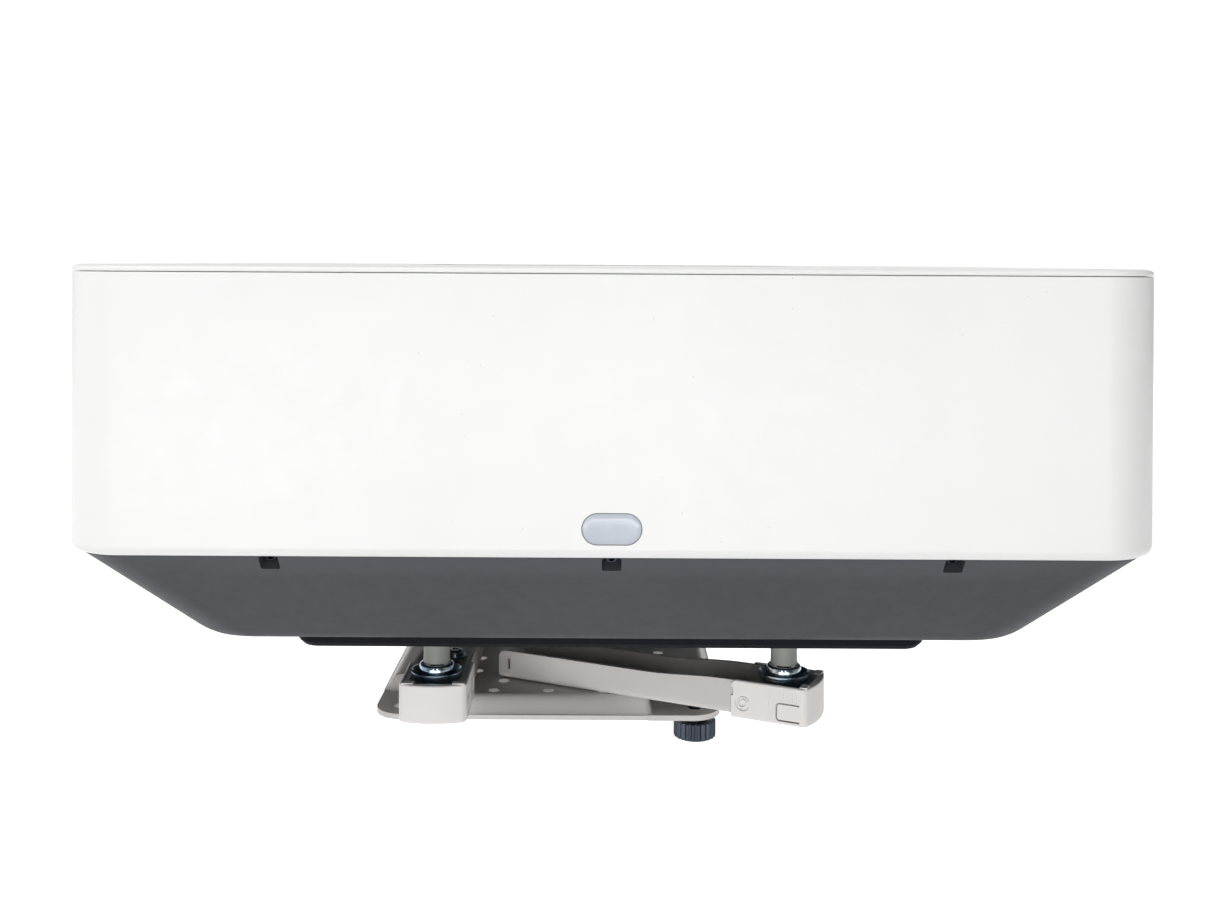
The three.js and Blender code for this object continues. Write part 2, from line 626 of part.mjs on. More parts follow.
function adapterPlate() {
  const skirt = 6.5;
  const level = (size, r, z) => ({ w: size, d: size, r, z });
  const slant = PLATE_T * 1.2;
  const outer = lofted([level(PLATE, 14, RIM_Z), level(PLATE - 2 * skirt, 10, PLATE_T)]);
  const inner = lofted([
    level(PLATE - 2 * slant, 12, RIM_Z - 0.5), level(PLATE - 2 * skirt - 2 * slant, 8, 0),
  ]);
  const footprint = lofted([level(PLATE, 14, RIM_Z), level(PLATE, 14, RIM_Z + PLATE_T)]);
  let plate = cut(outer, inner);
  const middle = PLATE / 2 - EAR / 2 + 10;
  for (const [sx, sy] of [[1, 1], [-1, 1], [-1, -1], [1, -1]]) {
    const well = (grow) => lofted([RIM_Z - 1, PLATE_T + 1].map((z) => (
      { w: EAR + 20 + grow, d: EAR + 20 + grow, r: 9 + grow / 2, x: sx * middle, y: sy * middle, z })));
    const wallBand = cut(well(2 * PLATE_T).intersect(outer), well(0));
    const ear = well(0.4).intersect(footprint);
    const hole = rod(3.5, -20, 10, sx * EAR_HOLE_XY, sy * EAR_HOLE_XY, 12);
    plate = cut(join(cut(plate, well(0)), wallBand, ear), hole);
  }
  for (const [x, y] of PLATE_HOLES) {
    for (const sx of x ? [-1, 1] : [1]) {
      for (const sy of [-1, 1]) plate = cut(plate, rod(2.6, -5, 5, sx * x, sy * y, 6));
    }
  }
  return plate;
}

// Arms are drawn along +X with the post at x = 0, then turned about the post.
function arm(length) {
  const side = new THREE.Shape();
  side.moveTo(-length, ARM_Z);
  side.lineTo(ARM_TIP, ARM_Z);
  side.lineTo(ARM_TIP, ARM_END_TOP_Z);
  side.lineTo(-24, ARM_END_TOP_Z);
  side.lineTo(-62, ARM_TOP_Z);
  side.lineTo(-length, ARM_TOP_Z);
  side.closePath();
  const profile = solid(new THREE.ExtrudeGeometry(side, { depth: ARM_W, bevelEnabled: false }));
  const blank = shifted(aboutX(profile, QUARTER), 0, ARM_W / 2, 0);
  const trough = span([-length - 5, ARM_T - ARM_W / 2, ARM_Z + ARM_T], [ARM_TIP + 5, ARM_W / 2 - ARM_T, 30]);
  let channel = cut(blank, trough, rod(STUD_R + GAP, 0, 10, 0, 0, 16));
  const slotEnd = length - 14;
  channel = cut(channel, span([-slotEnd, -2.6, 0], [-34, 2.6, 10]));
  return cut(channel, span([-length + 3, -20, 8], [-length + 4.6, 20, 12.5]));
}

function endCap() {
  const outline = new THREE.Shape();
  const half = CAP_W / 2;
  const front = ARM_TIP + GAP + 0.4;
  outline.moveTo(CAP_BACK, -half);
  outline.lineTo(front, -half);
  outline.quadraticCurveTo(front + 2 * CAP_BOW, 0, front, half);
  outline.lineTo(CAP_BACK, half);
  outline.closePath();
  let cap = extruded(outline, ARM_Z - 0.9 - GAP + 0.4, ARM_END_TOP_Z + 0.6, 8);
  const seat = span([CAP_BACK - 5, -ARM_W / 2 - GAP, ARM_Z - GAP], [ARM_TIP + GAP, ARM_W / 2 + GAP, 30]);
  cap = cut(cap, seat);
  const tabs = [-1, 1].map((s) => span([ARM_TIP - 2.4, s > 0 ? half - 7.4 : -half + 0.5, ARM_END_TOP_Z + GAP],
    [front + 0.5, s > 0 ? half - 0.5 : -half + 7.4, ARM_END_TOP_Z + 1.1]));
  cap = join(cap, ...tabs);
  const slot = 0.7;
  const tongue = { x0: 1, x1: 11.5, z0: 4.6, z1: 10.2 };
  for (const s of [-1, 1]) {
    const y0 = s > 0 ? ARM_W / 2 : -half - 1;
    const y1 = s > 0 ? half + 1 : -ARM_W / 2;
    cap = cut(cap,
      span([tongue.x0, y0, tongue.z0], [tongue.x0 + slot, y1, tongue.z1]),
      span([tongue.x0, y0, tongue.z0], [tongue.x1, y1, tongue.z0 + slot]),
      span([tongue.x0, y0, tongue.z1 - slot], [tongue.x1, y1, tongue.z1]));
  }
  return cap;
}

function post() {
  const top = PAN_FLOOR_Z - GAP - COVER_T - GAP;
  return turned([
    [0, ARM_Z + 0.4], [STUD_R, ARM_Z + 0.4], [STUD_R, NUT_TOP_Z + GAP], [POST_R, NUT_TOP_Z + GAP],
    [POST_R, top], [STUD_R, top], [STUD_R, top + 18], [0, top + 18],
  ], 14);
}

function flangeNut() {
  const bore = STUD_R + GAP;
  const base = ARM_Z + ARM_T + GAP;
  return turned([
    [bore, base], [8, base], [8, 16.2], [11.5, 16.2], [11.3, 18.6], [8.4, 20.2], [7.4, NUT_TOP_Z],
    [bore, NUT_TOP_Z], [bore, base],
  ], 14);
}

const yaw = LONG_ARM_YAW * Math.PI / 180;
const legs = [
  ['front_left', -POST_X, -POST_Y, -QUARTER, SHORT_ARM],
  ['front_right', POST_X, -POST_Y, -yaw, LONG_ARM],
  ['rear_left', -POST_X, POST_Y, QUARTER, SHORT_ARM],
  ['rear_right', POST_X, POST_Y, yaw, LONG_ARM],
];
for (const [corner, x, y, angle, length] of legs) {
  const leg = new THREE.Group();
  leg.position.set(x, y, 0);
  leg.rotation.z = angle;
  projector.add(leg);
  part(`arm_${corner}`, arm(length), POWDER, leg);
  part(`arm_cap_${corner}`, endCap(), CAP_WHITE, leg);
  part(`post_${corner}`, post(), POST_GREY, leg);
  part(`flange_nut_${corner}`, flangeNut(), ZINC, leg);
}
part('adapter_plate', adapterPlate(), POWDER, group);

function thumbscrew() {
  const under = RIM_Z - GAP;
  let screw = turned([
    [0, -18.7], [8, -18.7], [10, -17.6], [10, -11], [9, -10.2], [6, -10.2], [6, under],
    [2.8, under], [2.8, 2], [0, 2],
  ]);
  const grooves = 8;
  for (let i = 0; i < grooves; i += 1) {
    screw = cut(screw, aboutZ(box([1.6, 1.4, 9], [10.2, 0, -14.2]), i * 2 * Math.PI / grooves));
  }
  return screw;
}
part('thumbscrew', shifted(thumbscrew(), EAR_HOLE_XY, -EAR_HOLE_XY, 0), SCREW, group);

export default group;
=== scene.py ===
"""Looks of a white home projector and its ceiling adapter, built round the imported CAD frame.
Lengths are written in millimetres and scaled once, in build(). +X is the viewer's right,
-Y is the plain front face, +Z is up."""
import json
import math

import bmesh
import bpy
from mathutils import Matrix, Vector


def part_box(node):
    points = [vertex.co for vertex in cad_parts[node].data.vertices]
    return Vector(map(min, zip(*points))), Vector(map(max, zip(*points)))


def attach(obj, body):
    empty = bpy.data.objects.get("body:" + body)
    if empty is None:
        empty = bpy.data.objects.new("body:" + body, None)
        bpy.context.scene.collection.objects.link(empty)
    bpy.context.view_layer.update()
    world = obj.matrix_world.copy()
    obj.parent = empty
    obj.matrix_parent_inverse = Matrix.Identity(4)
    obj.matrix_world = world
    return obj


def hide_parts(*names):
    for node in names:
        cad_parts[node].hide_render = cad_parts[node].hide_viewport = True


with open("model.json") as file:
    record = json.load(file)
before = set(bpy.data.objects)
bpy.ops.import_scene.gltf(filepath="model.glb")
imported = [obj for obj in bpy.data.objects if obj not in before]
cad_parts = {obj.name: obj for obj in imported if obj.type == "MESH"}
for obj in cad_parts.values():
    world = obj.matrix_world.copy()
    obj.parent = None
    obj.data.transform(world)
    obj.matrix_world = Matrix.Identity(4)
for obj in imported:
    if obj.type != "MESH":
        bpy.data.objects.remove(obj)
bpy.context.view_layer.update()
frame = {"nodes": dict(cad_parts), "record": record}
MM = 0.001


def node_box(node):
    """Lowest and highest corner of a CAD node, in millimetres."""
    low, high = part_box(node)
    return low / MM, high / MM


def spans(node):
    """Low corner, high corner, middle and size of a CAD node, in millimetres."""
    low, high = node_box(node)
    return low, high, (low + high) / 2, high - low


# ---- places taken from the frame
SHELL_LOW, SHELL_HIGH = node_box("upper_shell")
LID_TOP = node_box("top_lid")[1].z
PAN_LOW = node_box("base_pan")[0]
BODY_X = (SHELL_LOW.x + SHELL_HIGH.x) / 2
BODY_W = SHELL_HIGH.x - SHELL_LOW.x
BODY_D = SHELL_HIGH.y - SHELL_LOW.y
CORNER_R = 26.5
WALL = 2.5
TUCK = 3.2                      # inward roll of the shell's lower edge
LID_T = 2.65
LID_Z = LID_TOP - LID_T
PAN_TOP = SHELL_LOW.z - 0.3
PAN_W, PAN_D, PAN_R = 355.4, 265.4, 27

# ---- camera
LENS = 38.55
LENS_SHIFT = -0.15939           # the photo's horizon lies this share of its width above its middle
ROLL = 0.0055


def make_camera():
    data = bpy.data.cameras.new("camera")
    data.sensor_width = 36
    data.lens = LENS
    data.shift_y = LENS_SHIFT
    data.clip_start = 0.02
    data.clip_end = 30
    camera = bpy.data.objects.new("camera", data)
    camera.location = Vector((BODY_X - 2.5, SHELL_LOW.y - 507.5, LID_TOP + 1.8)) * MM
    level = Matrix.Rotation(math.pi / 2, 4, "X")
    camera.matrix_world = Matrix.Translation(camera.location) @ level @ Matrix.Rotation(ROLL, 4, "Z")
    bpy.context.scene.collection.objects.link(camera)
    bpy.context.scene.camera = camera


# ---- shader nodes
class Shader:
    """A Principled material with helpers for noise-driven sockets in object space."""

    def __init__(self, name):
        self.material = bpy.data.materials.new(name)
        self.material.use_nodes = True
        self.tree = self.material.node_tree
        self.surface = self.tree.nodes["Principled BSDF"]
        self.place = self.node("ShaderNodeTexCoord").outputs["Object"]

    def node(self, kind, sockets=None, **settings):
        made = self.tree.nodes.new(kind)
        for key, value in settings.items():
            setattr(made, key, value)
        for key, value in (sockets or {}).items():
            made.inputs[key].default_value = value
        return made

    def link(self, output, socket):
        self.tree.links.new(output, socket)

    def stretched(self, x, y, z):
        mapping = self.node("ShaderNodeMapping", {"Scale": (x, y, z)})
        self.link(self.place, mapping.inputs["Vector"])
        return mapping.outputs["Vector"]

    def noise(self, scale, detail=3.0, rough=0.5, place=None):
        made = self.node("ShaderNodeTexNoise", {"Scale": scale, "Detail": detail, "Roughness": rough})
        self.link(place or self.place, made.inputs["Vector"])
        return made.outputs["Fac"]

    def cells(self, scale):
        made = self.node("ShaderNodeTexVoronoi", {"Scale": scale})
        self.link(self.place, made.inputs["Vector"])
        return made.outputs["Distance"]

    def ramp(self, value, low, high, start=0.3, end=0.7):
        limits = {"From Min": start, "From Max": end, "To Min": low, "To Max": high}
        made = self.node("ShaderNodeMapRange", limits, interpolation_type="SMOOTHSTEP")
        self.link(value, made.inputs["Value"])
        return made.outputs["Result"]

    def math(self, operation, a, b):
        made = self.node("ShaderNodeMath", operation=operation)
        for socket, value in zip(made.inputs, (a, b)):
            if isinstance(value, (int, float)):
                socket.default_value = value
            else:
                self.link(value, socket)
        return made.outputs[0]

    def mix(self, factor, a, b):
        made = self.node("ShaderNodeMix", data_type="RGBA")
        self.link(factor, made.inputs["Factor"])
        for key, value in (("A", a), ("B", b)):
            socket = [s for s in made.inputs if s.name == key and s.type == "RGBA"][0]
            if isinstance(value, (tuple, list)):
                socket.default_value = (*value[:3], 1)
            else:
                self.link(value, socket)
        return [s for s in made.outputs if s.type == "RGBA"][0]

    def bump(self, height, strength, distance=0.0003, normal=None):
        made = self.node("ShaderNodeBump", {"Strength": strength, "Distance": distance})
        self.link(height, made.inputs["Height"])
        if normal is not None:
            self.link(normal, made.inputs["Normal"])
        return made.outputs["Normal"]

    def set(self, **values):
        for key, value in values.items():
            self.surface.inputs[key.replace("_", " ")].default_value = value

    def wire(self, **outputs):
        for key, output in outputs.items():
            self.link(output, self.surface.inputs[key.replace("_", " ")])


def scaled(colour, by):
    return tuple(min(1.0, c * by) for c in colour)


def edge_wear(shader, inside, outside, low=0.5, high=0.56):
    """Lighter, rubbed convex edges."""
    point = shader.node("ShaderNodeNewGeometry").outputs["Pointiness"]
    return shader.mix(shader.ramp(point, 0, 1, low, high), inside, outside)


def plastic(name, colour, roughness, grain, relief, clouds, tint, specks=0, worn=0):
    """Moulded plastic: fine spark-eroded grain, faint clouds and dust specks."""
    s = Shader(name)
    cloud = s.ramp(s.noise(clouds, 4), 0, 1)
    base = s.mix(cloud, scaled(colour, 1 - tint), scaled(colour, 1 + tint))
    if specks:
        dust = s.ramp(s.cells(190), 1, 0, 0.03, 0.06)
        rare = s.ramp(s.noise(37, 1), 0, specks, 0.6, 0.66)
        base = s.mix(s.math("MULTIPLY", dust, rare), base, scaled(colour, 0.35))
    if worn:
        base = edge_wear(s, base, scaled(colour, 1 + worn))
    fine = s.noise(grain, 2, 0.6)
    broad = s.noise(grain / 9, 3)
    s.wire(Base_Color=base)
    s.wire(Roughness=s.math("ADD", s.ramp(broad, roughness - 0.04, roughness + 0.04),
                            s.ramp(fine, -0.02, 0.03)))
    s.wire(Normal=s.bump(broad, relief * 0.35, 0.0004, s.bump(fine, relief, 0.00012)))
    return s


def metal(name, colour, roughness, along=(1, 1, 1), relief=0.05, tint=0.05, scale=220):
    """Bare or plated metal; along stretches the brushing."""
    s = Shader(name)
    place = s.stretched(*along)
    lines = s.noise(scale, 5, 0.65, place)
    cloud = s.ramp(s.noise(35, 3), 0, 1)
    base = s.mix(cloud, scaled(colour, 1 - tint), scaled(colour, 1 + tint))
    s.set(Metallic=1.0)
    s.wire(Base_Color=base, Roughness=s.ramp(lines, roughness * 0.75, roughness * 1.3))
    s.wire(Normal=s.bump(lines, relief, 0.0001))
    return s


def powder_coat(name, colour, roughness=0.42):
    """Stove powder coat over sheet steel: orange peel, and grey rubbed edges."""
    s = Shader(name)
    peel = s.noise(900, 2, 0.4)
    cloud = s.ramp(s.noise(22, 4), 0, 1)
    base = s.mix(cloud, scaled(colour, 0.965), scaled(colour, 1.02))
    s.wire(Base_Color=edge_wear(s, base, scaled(colour, 1.12), 0.52, 0.62))
    s.wire(Roughness=s.ramp(peel, roughness - 0.06, roughness + 0.08))
    s.wire(Normal=s.bump(peel, 0.16, 0.00025))
    s.set(Coat_Weight=0.12, Coat_Roughness=0.25)
    return s


def plated_zinc(name):
    """Bright zinc with the blue passivation's drifting colour."""
    s = metal(name, (0.52, 0.62, 0.70), 0.15, tint=0.0, relief=0.04, scale=500)
    drift = s.ramp(s.noise(85, 2), 0, 1, 0.35, 0.65)
    film = s.mix(drift, (0.34, 0.50, 0.64), (0.68, 0.72, 0.74))
    s.wire(Base_Color=film)
    return s


def glass(name, tint, roughness=0.0, coat=(0.75, 0.8, 1.0, 1)):
    s = Shader(name)
    smear = s.noise(30, 4)
    s.set(Transmission_Weight=1.0, IOR=1.5, Specular_Tint=coat)
    s.wire(Base_Color=s.mix(s.ramp(smear, 0, 1), tint, scaled(tint, 0.97)))
    s.wire(Roughness=s.ramp(smear, roughness, roughness + 0.02, 0.5, 0.8))
    return s


def fleece(name, colour):
    s = Shader(name)
    fibres = s.noise(1100, 6, 0.75, s.stretched(1, 1, 0.35))
    base = s.mix(s.ramp(fibres, 0, 1), scaled(colour, 0.72), scaled(colour, 1.08))
    s.wire(Base_Color=base)
    s.wire(Normal=s.bump(fibres, 0.6, 0.0004))
    s.set(Roughness=0.95, Sheen_Weight=0.25)
    return s


def circuit(name):
    """Solder mask over copper tracks."""
    s = Shader(name)
    tracks = s.node("ShaderNodeTexBrick", {"Scale": 260, "Mortar Size": 0.012},
                    offset=0.37, squash=0.6, squash_frequency=3)
    s.link(s.place, tracks.inputs["Vector"])
    base = s.mix(tracks.outputs["Fac"], (0.012, 0.075, 0.035), (0.05, 0.2, 0.09))
    s.wire(Base_Color=base)
    s.wire(Normal=s.bump(tracks.outputs["Fac"], 0.25, 0.0001))
    s.wire(Roughness=s.ramp(s.noise(300), 0.22, 0.4))
    return s


def phosphor(name, centre):
    """A yellow ceramic ring on a bright disc, told apart by the distance from the axis."""
    s = Shader(name)
    away = s.node("ShaderNodeVectorMath", operation="DISTANCE")
    s.link(s.place, away.inputs[0])
    away.inputs[1].default_value = centre
    band = s.ramp(away.outputs["Value"], 0, 1, 0.0205, 0.0215)
    grain = s.noise(1500, 3)
    s.wire(Base_Color=s.mix(band, (0.7, 0.71, 0.73), (0.78, 0.62, 0.08)))
    s.wire(Metallic=s.math("SUBTRACT", 1.0, band))
    s.wire(Roughness=s.ramp(grain, 0.3, 0.5), Normal=s.bump(grain, 0.2, 0.0001))
    return s


# Slot: colour, roughness, grain, relief, cloud scale, tint, specks, wear.
PLASTICS = {
    "shell_white": ((0.86, 0.865, 0.855), 0.36, 1300, 0.1, 9, 0.012, 0.5),
    "pan_charcoal": ((0.062, 0.0665, 0.0755), 0.55, 1500, 0.3, 16, 0.05, 0, 0.25),
    "cover_black": ((0.004, 0.0055, 0.009), 0.6, 1500, 0.3, 20, 0.1, 0, 0.3),
    "sensor_window": ((0.53, 0.57, 0.64), 0.14, 700, 0.02, 60, 0.03),
    "fan_black": ((0.022, 0.022, 0.025), 0.4, 1200, 0.15, 30, 0.1, 0, 0.5),
    "well_black": ((0.016, 0.017, 0.019), 0.55, 1100, 0.35, 30, 0.1, 0, 0.4),
    "shutter_dark": ((0.03, 0.031, 0.035), 0.3, 1600, 0.1, 30, 0.05),
    "cell_glass": ((0.02, 0.022, 0.03), 0.3, 900, 0.1, 30, 0.1),
    "speaker_black": ((0.02, 0.02, 0.022), 0.6, 800, 0.3, 30, 0.1),
    "cap_white": ((0.86, 0.83, 0.81), 0.4, 1000, 0.12, 25, 0.02),
    "post_grey": ((0.30, 0.31, 0.285), 0.5, 900, 0.2, 40, 0.06),
}
METALS = {
    "screw_steel": {"colour": (0.075, 0.085, 0.11), "roughness": 0.34, "relief": 0.1, "scale": 900},
    "socket_metal": {"colour": (0.62, 0.62, 0.63), "roughness": 0.25, "along": (1, 0.1, 1)},
    "supply_metal": {"colour": (0.5, 0.51, 0.52), "roughness": 0.35, "along": (0.08, 1, 1)},
    "mirror_silver": {"colour": (0.88, 0.9, 0.92), "roughness": 0.03, "relief": 0.004, "tint": 0.01},
    "cast_aluminium": {"colour": (0.56, 0.57, 0.59), "roughness": 0.42, "relief": 0.3, "scale": 600},
}
DULL = {"cover_black": 0.12, "pan_charcoal": 0.3, "well_black": 0.25}    # weaker mirror-like gloss


def make_materials():
    wheel = spans("phosphor_wheel")[2] * MM
    made = {slot: plastic(slot, *settings) for slot, settings in PLASTICS.items()}
    made |= {slot: metal(slot, **settings) for slot, settings in METALS.items()}
    made |= {
        "filter_fleece": fleece("filter_fleece", (0.62, 0.60, 0.54)),
        "board_green": circuit("board_green"),
        "lens_glass": glass("lens_glass", (0.93, 0.97, 1.0)),
        "phosphor_disc": phosphor("phosphor_disc", wheel),
        "mount_powder": powder_coat("mount_powder", (0.64, 0.615, 0.595)),
        "nut_zinc": plated_zinc("nut_zinc"),
    }
    for slot, level in DULL.items():
        made[slot].set(Specular_IOR_Level=level)
    return {slot: shader.material for slot, shader in made.items()}


MATERIALS = make_materials()


# ---- mesh making
def build(name, verts, faces):
    """A mesh object from points in millimetres, faces turned outwards."""
    mesh = bpy.data.meshes.new(name)
    mesh.from_pydata([Vector(v) * MM for v in verts], [], faces)
    work = bmesh.new()
    work.from_mesh(mesh)
    bmesh.ops.remove_doubles(work, verts=work.verts, dist=1e-6)
    bmesh.ops.recalc_face_normals(work, faces=work.faces)
    work.to_mesh(mesh)
    work.free()
    made = bpy.data.objects.new(name, mesh)
    bpy.context.scene.collection.objects.link(made)
    return made


def ring(w, d, r, z, x=0.0, y=0.0, n=14):
    """Rounded rectangle, n + 1 points to a corner."""
    points = []
    r = max(r, 0.05)
    for sx, sy, quarter in ((1, 1, 0), (-1, 1, 1), (-1, -1, 2), (1, -1, 3)):
        for i in range(n + 1):
            a = (quarter + i / n) * math.pi / 2
            points.append(Vector((x + sx * (w / 2 - r) + r * math.cos(a),
                                  y + sy * (d / 2 - r) + r * math.sin(a), z)))
    return points


def loft(rings, loop=False):
    """Points and faces of a skin over rings of equal count; open ends are capped."""
    n = len(rings[0])
    count = len(rings)
    faces = []
    for i in range(count if loop else count - 1):
        a = i * n
        b = (i + 1) % count * n
        faces += [(a + j, a + (j + 1) % n, b + (j + 1) % n, b + j) for j in range(n)]
    if not loop:
        faces += [tuple(reversed(range(n))), tuple((count - 1) * n + j for j in range(n))]
    return [p for points in rings for p in points], faces


def turned(name, profile, sides=64, centre=(0, 0, 0), matrix=None):
    """Lathe about Z; profile points are (radius, z), closed on the axis or on itself."""
    rings = [[Vector((r * math.cos(2 * math.pi * j / sides), r * math.sin(2 * math.pi * j / sides), z))
              for j in range(sides)] for r, z in profile]
    loop = profile[0] == profile[-1]
    verts, faces = loft(rings[:-1] if loop else rings, loop)
    matrix = matrix or Matrix.Identity(4)
    place = Matrix.Translation(centre) @ matrix
    return build(name, [place @ v for v in verts], faces)


def grid_faces(rows, columns, start=0):
    """Faces of a grid whose points run along its columns, row after row."""
    n = columns + 1
    corners = [start + j * n + i for j in range(rows) for i in range(columns)]
    return [(c, c + 1, c + n + 1, c + n) for c in corners]


def block(low, high):
    (x0, y0, z0), (x1, y1, z1) = low, high
    verts = [(x, y, z) for z in (z0, z1) for y in (y0, y1) for x in (x0, x1)]
    faces = [(0, 2, 3, 1), (4, 5, 7, 6), (0, 1, 5, 4), (2, 6, 7, 3), (0, 4, 6, 2), (1, 3, 7, 5)]
    return verts, faces


def boolean(target, tools, operation="DIFFERENCE"):
    """Cuts or joins the tool meshes, which are then removed."""
    for cutter in tools:
        step = target.modifiers.new("cut", "BOOLEAN")
        step.operation = operation
        step.solver = "EXACT"
        step.object = cutter
        bpy.context.view_layer.update()
        graph = bpy.context.evaluated_depsgraph_get()
        mesh = bpy.data.meshes.new_from_object(target.evaluated_get(graph))
        target.modifiers.clear()
        target.data = mesh
        bpy.data.objects.remove(cutter)
    return target


def merged(name, shapes):
    """One object of several separate shapes, each (points, faces)."""
    verts, faces = [], []
    for points, polygons in shapes:
        start = len(verts)
        verts += list(points)
        faces += [tuple(start + i for i in polygon) for polygon in polygons]
    return build(name, verts, faces)


def joined(name, pieces):
    """Several mesh objects as one, for a single boolean cut."""
    shapes = [([v.co / MM for v in p.data.vertices], [tuple(f.vertices) for f in p.data.polygons])
              for p in pieces]
    for piece in pieces:
        bpy.data.objects.remove(piece)
    return merged(name, shapes)


def filleted(corners, n=6):
    """Polygon (x, y, radius) with its corners rounded by arcs."""
    points = []
    count = len(corners)
    for i, (x, y, r) in enumerate(corners):
        here = Vector((x, y))
        if r <= 0:
            points.append(here)
            continue
        back = (Vector(corners[i - 1][:2]) - here).normalized()
        ahead = (Vector(corners[(i + 1) % count][:2]) - here).normalized()
        half = back.angle(ahead) / 2
        middle = here + (back + ahead).normalized() * r / math.sin(half)
        first = here + back * r / math.tan(half) - middle
        last = here + ahead * r / math.tan(half) - middle
        sweep = first.angle_signed(last)
        for k in range(n + 1):
            a = -sweep * k / n
            points.append(middle + Vector((first.x * math.cos(a) - first.y * math.sin(a),
                                           first.x * math.sin(a) + first.y * math.cos(a))))
    return points


def prism(points, low, high, axis="z"):
    """Outline extruded along z, or along y when its points are (x, z)."""
    if axis == "z":
        return loft([[Vector((p.x, p.y, t)) for p in points] for t in (low, high)])
    return loft([[Vector((p.x, t, p.y)) for p in points] for t in (low, high)])


def tool(shape):
    """A shape that only cuts or joins another piece."""
    return build("tool", *shape)


def rod(radius, low, high, sides=24, **seat):
    """A plain cylinder along its seat's Z, as a tool."""
    return turned("tool", [(0, low), (radius, low), (radius, high), (0, high)], sides, **seat)


def facing_y(outline, middle, y):
    """An (x, z) outline round the middle, stood upright at depth y."""
    return [Vector((middle.x + p.x, y, middle.z + p.y)) for p in outline]


def facing_x(outline, middle, x):
    """A (y, z) outline round the middle, stood upright at x."""
    return [Vector((x, middle.y + p.x, middle.z + p.y)) for p in outline]


def stepped(w, d, r, steps, x=0.0, y=0.0, n=14, shrink=0.0):
    """Rounded rectangles up Z, each drawn in by its step; steps are (inset, z)."""
    return [ring(w - 2 * i, d - 2 * i, r - shrink * i, z, x, y, n) for i, z in steps]


def upright(w, h, r, steps, middle, stand=facing_y, n=14, shrink=0.0):
    """The same stood upright; steps are (inset, y), or (inset, x) for facing_x."""
    return [stand(ring(w - 2 * i, h - 2 * i, r - shrink * i, 0, n=n), middle, depth) for i, depth in steps]


def moved(shape, matrix):
    verts, faces = shape
    return [matrix @ Vector(v) for v in verts], faces


def wall_seat(node):
    """A seat on a side node's inner face with +Z out through the wall, and the node's size."""
    low, high, middle, size = spans(node)
    side = 1 if middle.x > BODY_X else -1
    start = low.x if side > 0 else high.x
    turn = Matrix.Rotation(side * math.pi / 2, 4, "Y")
    return Matrix.Translation((start, middle.y, middle.z)) @ turn, size


CORNERS = [(sx, sy) for sx in (-1, 1) for sy in (-1, 1)]
ALONG_X = Matrix.Rotation(math.pi / 2, 4, "Y")


def dress(piece, slot, body="root", replaces=(), bevel=0.0, segments=2, sharp=32):
    """Rounds the edges, shades, paints and mounts a piece."""
    for polygon in piece.data.polygons:
        polygon.use_smooth = True
    if bevel:
        step = piece.modifiers.new("edges", "BEVEL")
        step.width = bevel * MM
        step.segments = segments
        step.limit_method = "ANGLE"
        step.angle_limit = math.radians(sharp)
        step.harden_normals = False
        normals = piece.modifiers.new("normals", "WEIGHTED_NORMAL")
        normals.keep_sharp = True
    else:
        piece.data.set_sharp_from_angle(angle=math.radians(sharp))
    piece.data.materials.clear()
    piece.data.materials.append(MATERIALS[slot])
    if body:
        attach(piece, body)
    if replaces:
        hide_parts(*([replaces] if isinstance(replaces, str) else replaces))
    return piece


def dress_cad_nodes():
    """Every CAD node gets its slot's material and softened edges; replaced ones are hidden later."""
    slots = {row["node"]: row["material_slot"] for row in frame["record"]["subparts"]}
    for name, piece in frame["nodes"].items():
        piece.data.materials.clear()
        piece.data.materials.append(MATERIALS[slots[name]])
        step = piece.modifiers.new("edges", "BEVEL")
        step.width = 0.35 * MM
        step.segments = 2
        step.limit_method = "ANGLE"
        step.angle_limit = math.radians(40)


# ---- casing
SPEAKER_Y, SPEAKER_Z, SPEAKER_SLOTS, SLOT_PITCH = -122, 140, 7, 6.6
SEAM_SCREWS = {"left": -135.4, "centre": 0, "right": 135.4}
POCKET_MIDDLE = 4.4             # down the slope from its upper edge to a screw pocket's middle
STUD_X, STUD_Y = 78, 98


def casing(inset, z):
    return ring(BODY_W - 2 * inset, BODY_D - 2 * inset, CORNER_R - inset, z, BODY_X)


def rounded_edge(inset, height, z, steps=6):
    """Quarter-round edge as (inset, z) pairs, from the turned-in end up to the wall."""
    turns = [i / steps * math.pi / 2 for i in range(steps + 1)]
    return [(inset * (1 - math.sin(a)), z + height * (1 - math.cos(a))) for a in turns]


def wall_opening(node, gap):
    low, high, middle, _ = spans(node)
    x = math.copysign(BODY_W / 2, middle.x - BODY_X) + BODY_X
    return tool(block((x - 10, low.y - gap, low.z - gap), (x + 10, high.y + gap, high.z + gap)))


def rear_opening(node, gap):
    low, high = node_box(node)
    return tool(block((low.x - gap, high.y - 8, low.z - gap), (high.x + gap, high.y + 10, high.z + gap)))


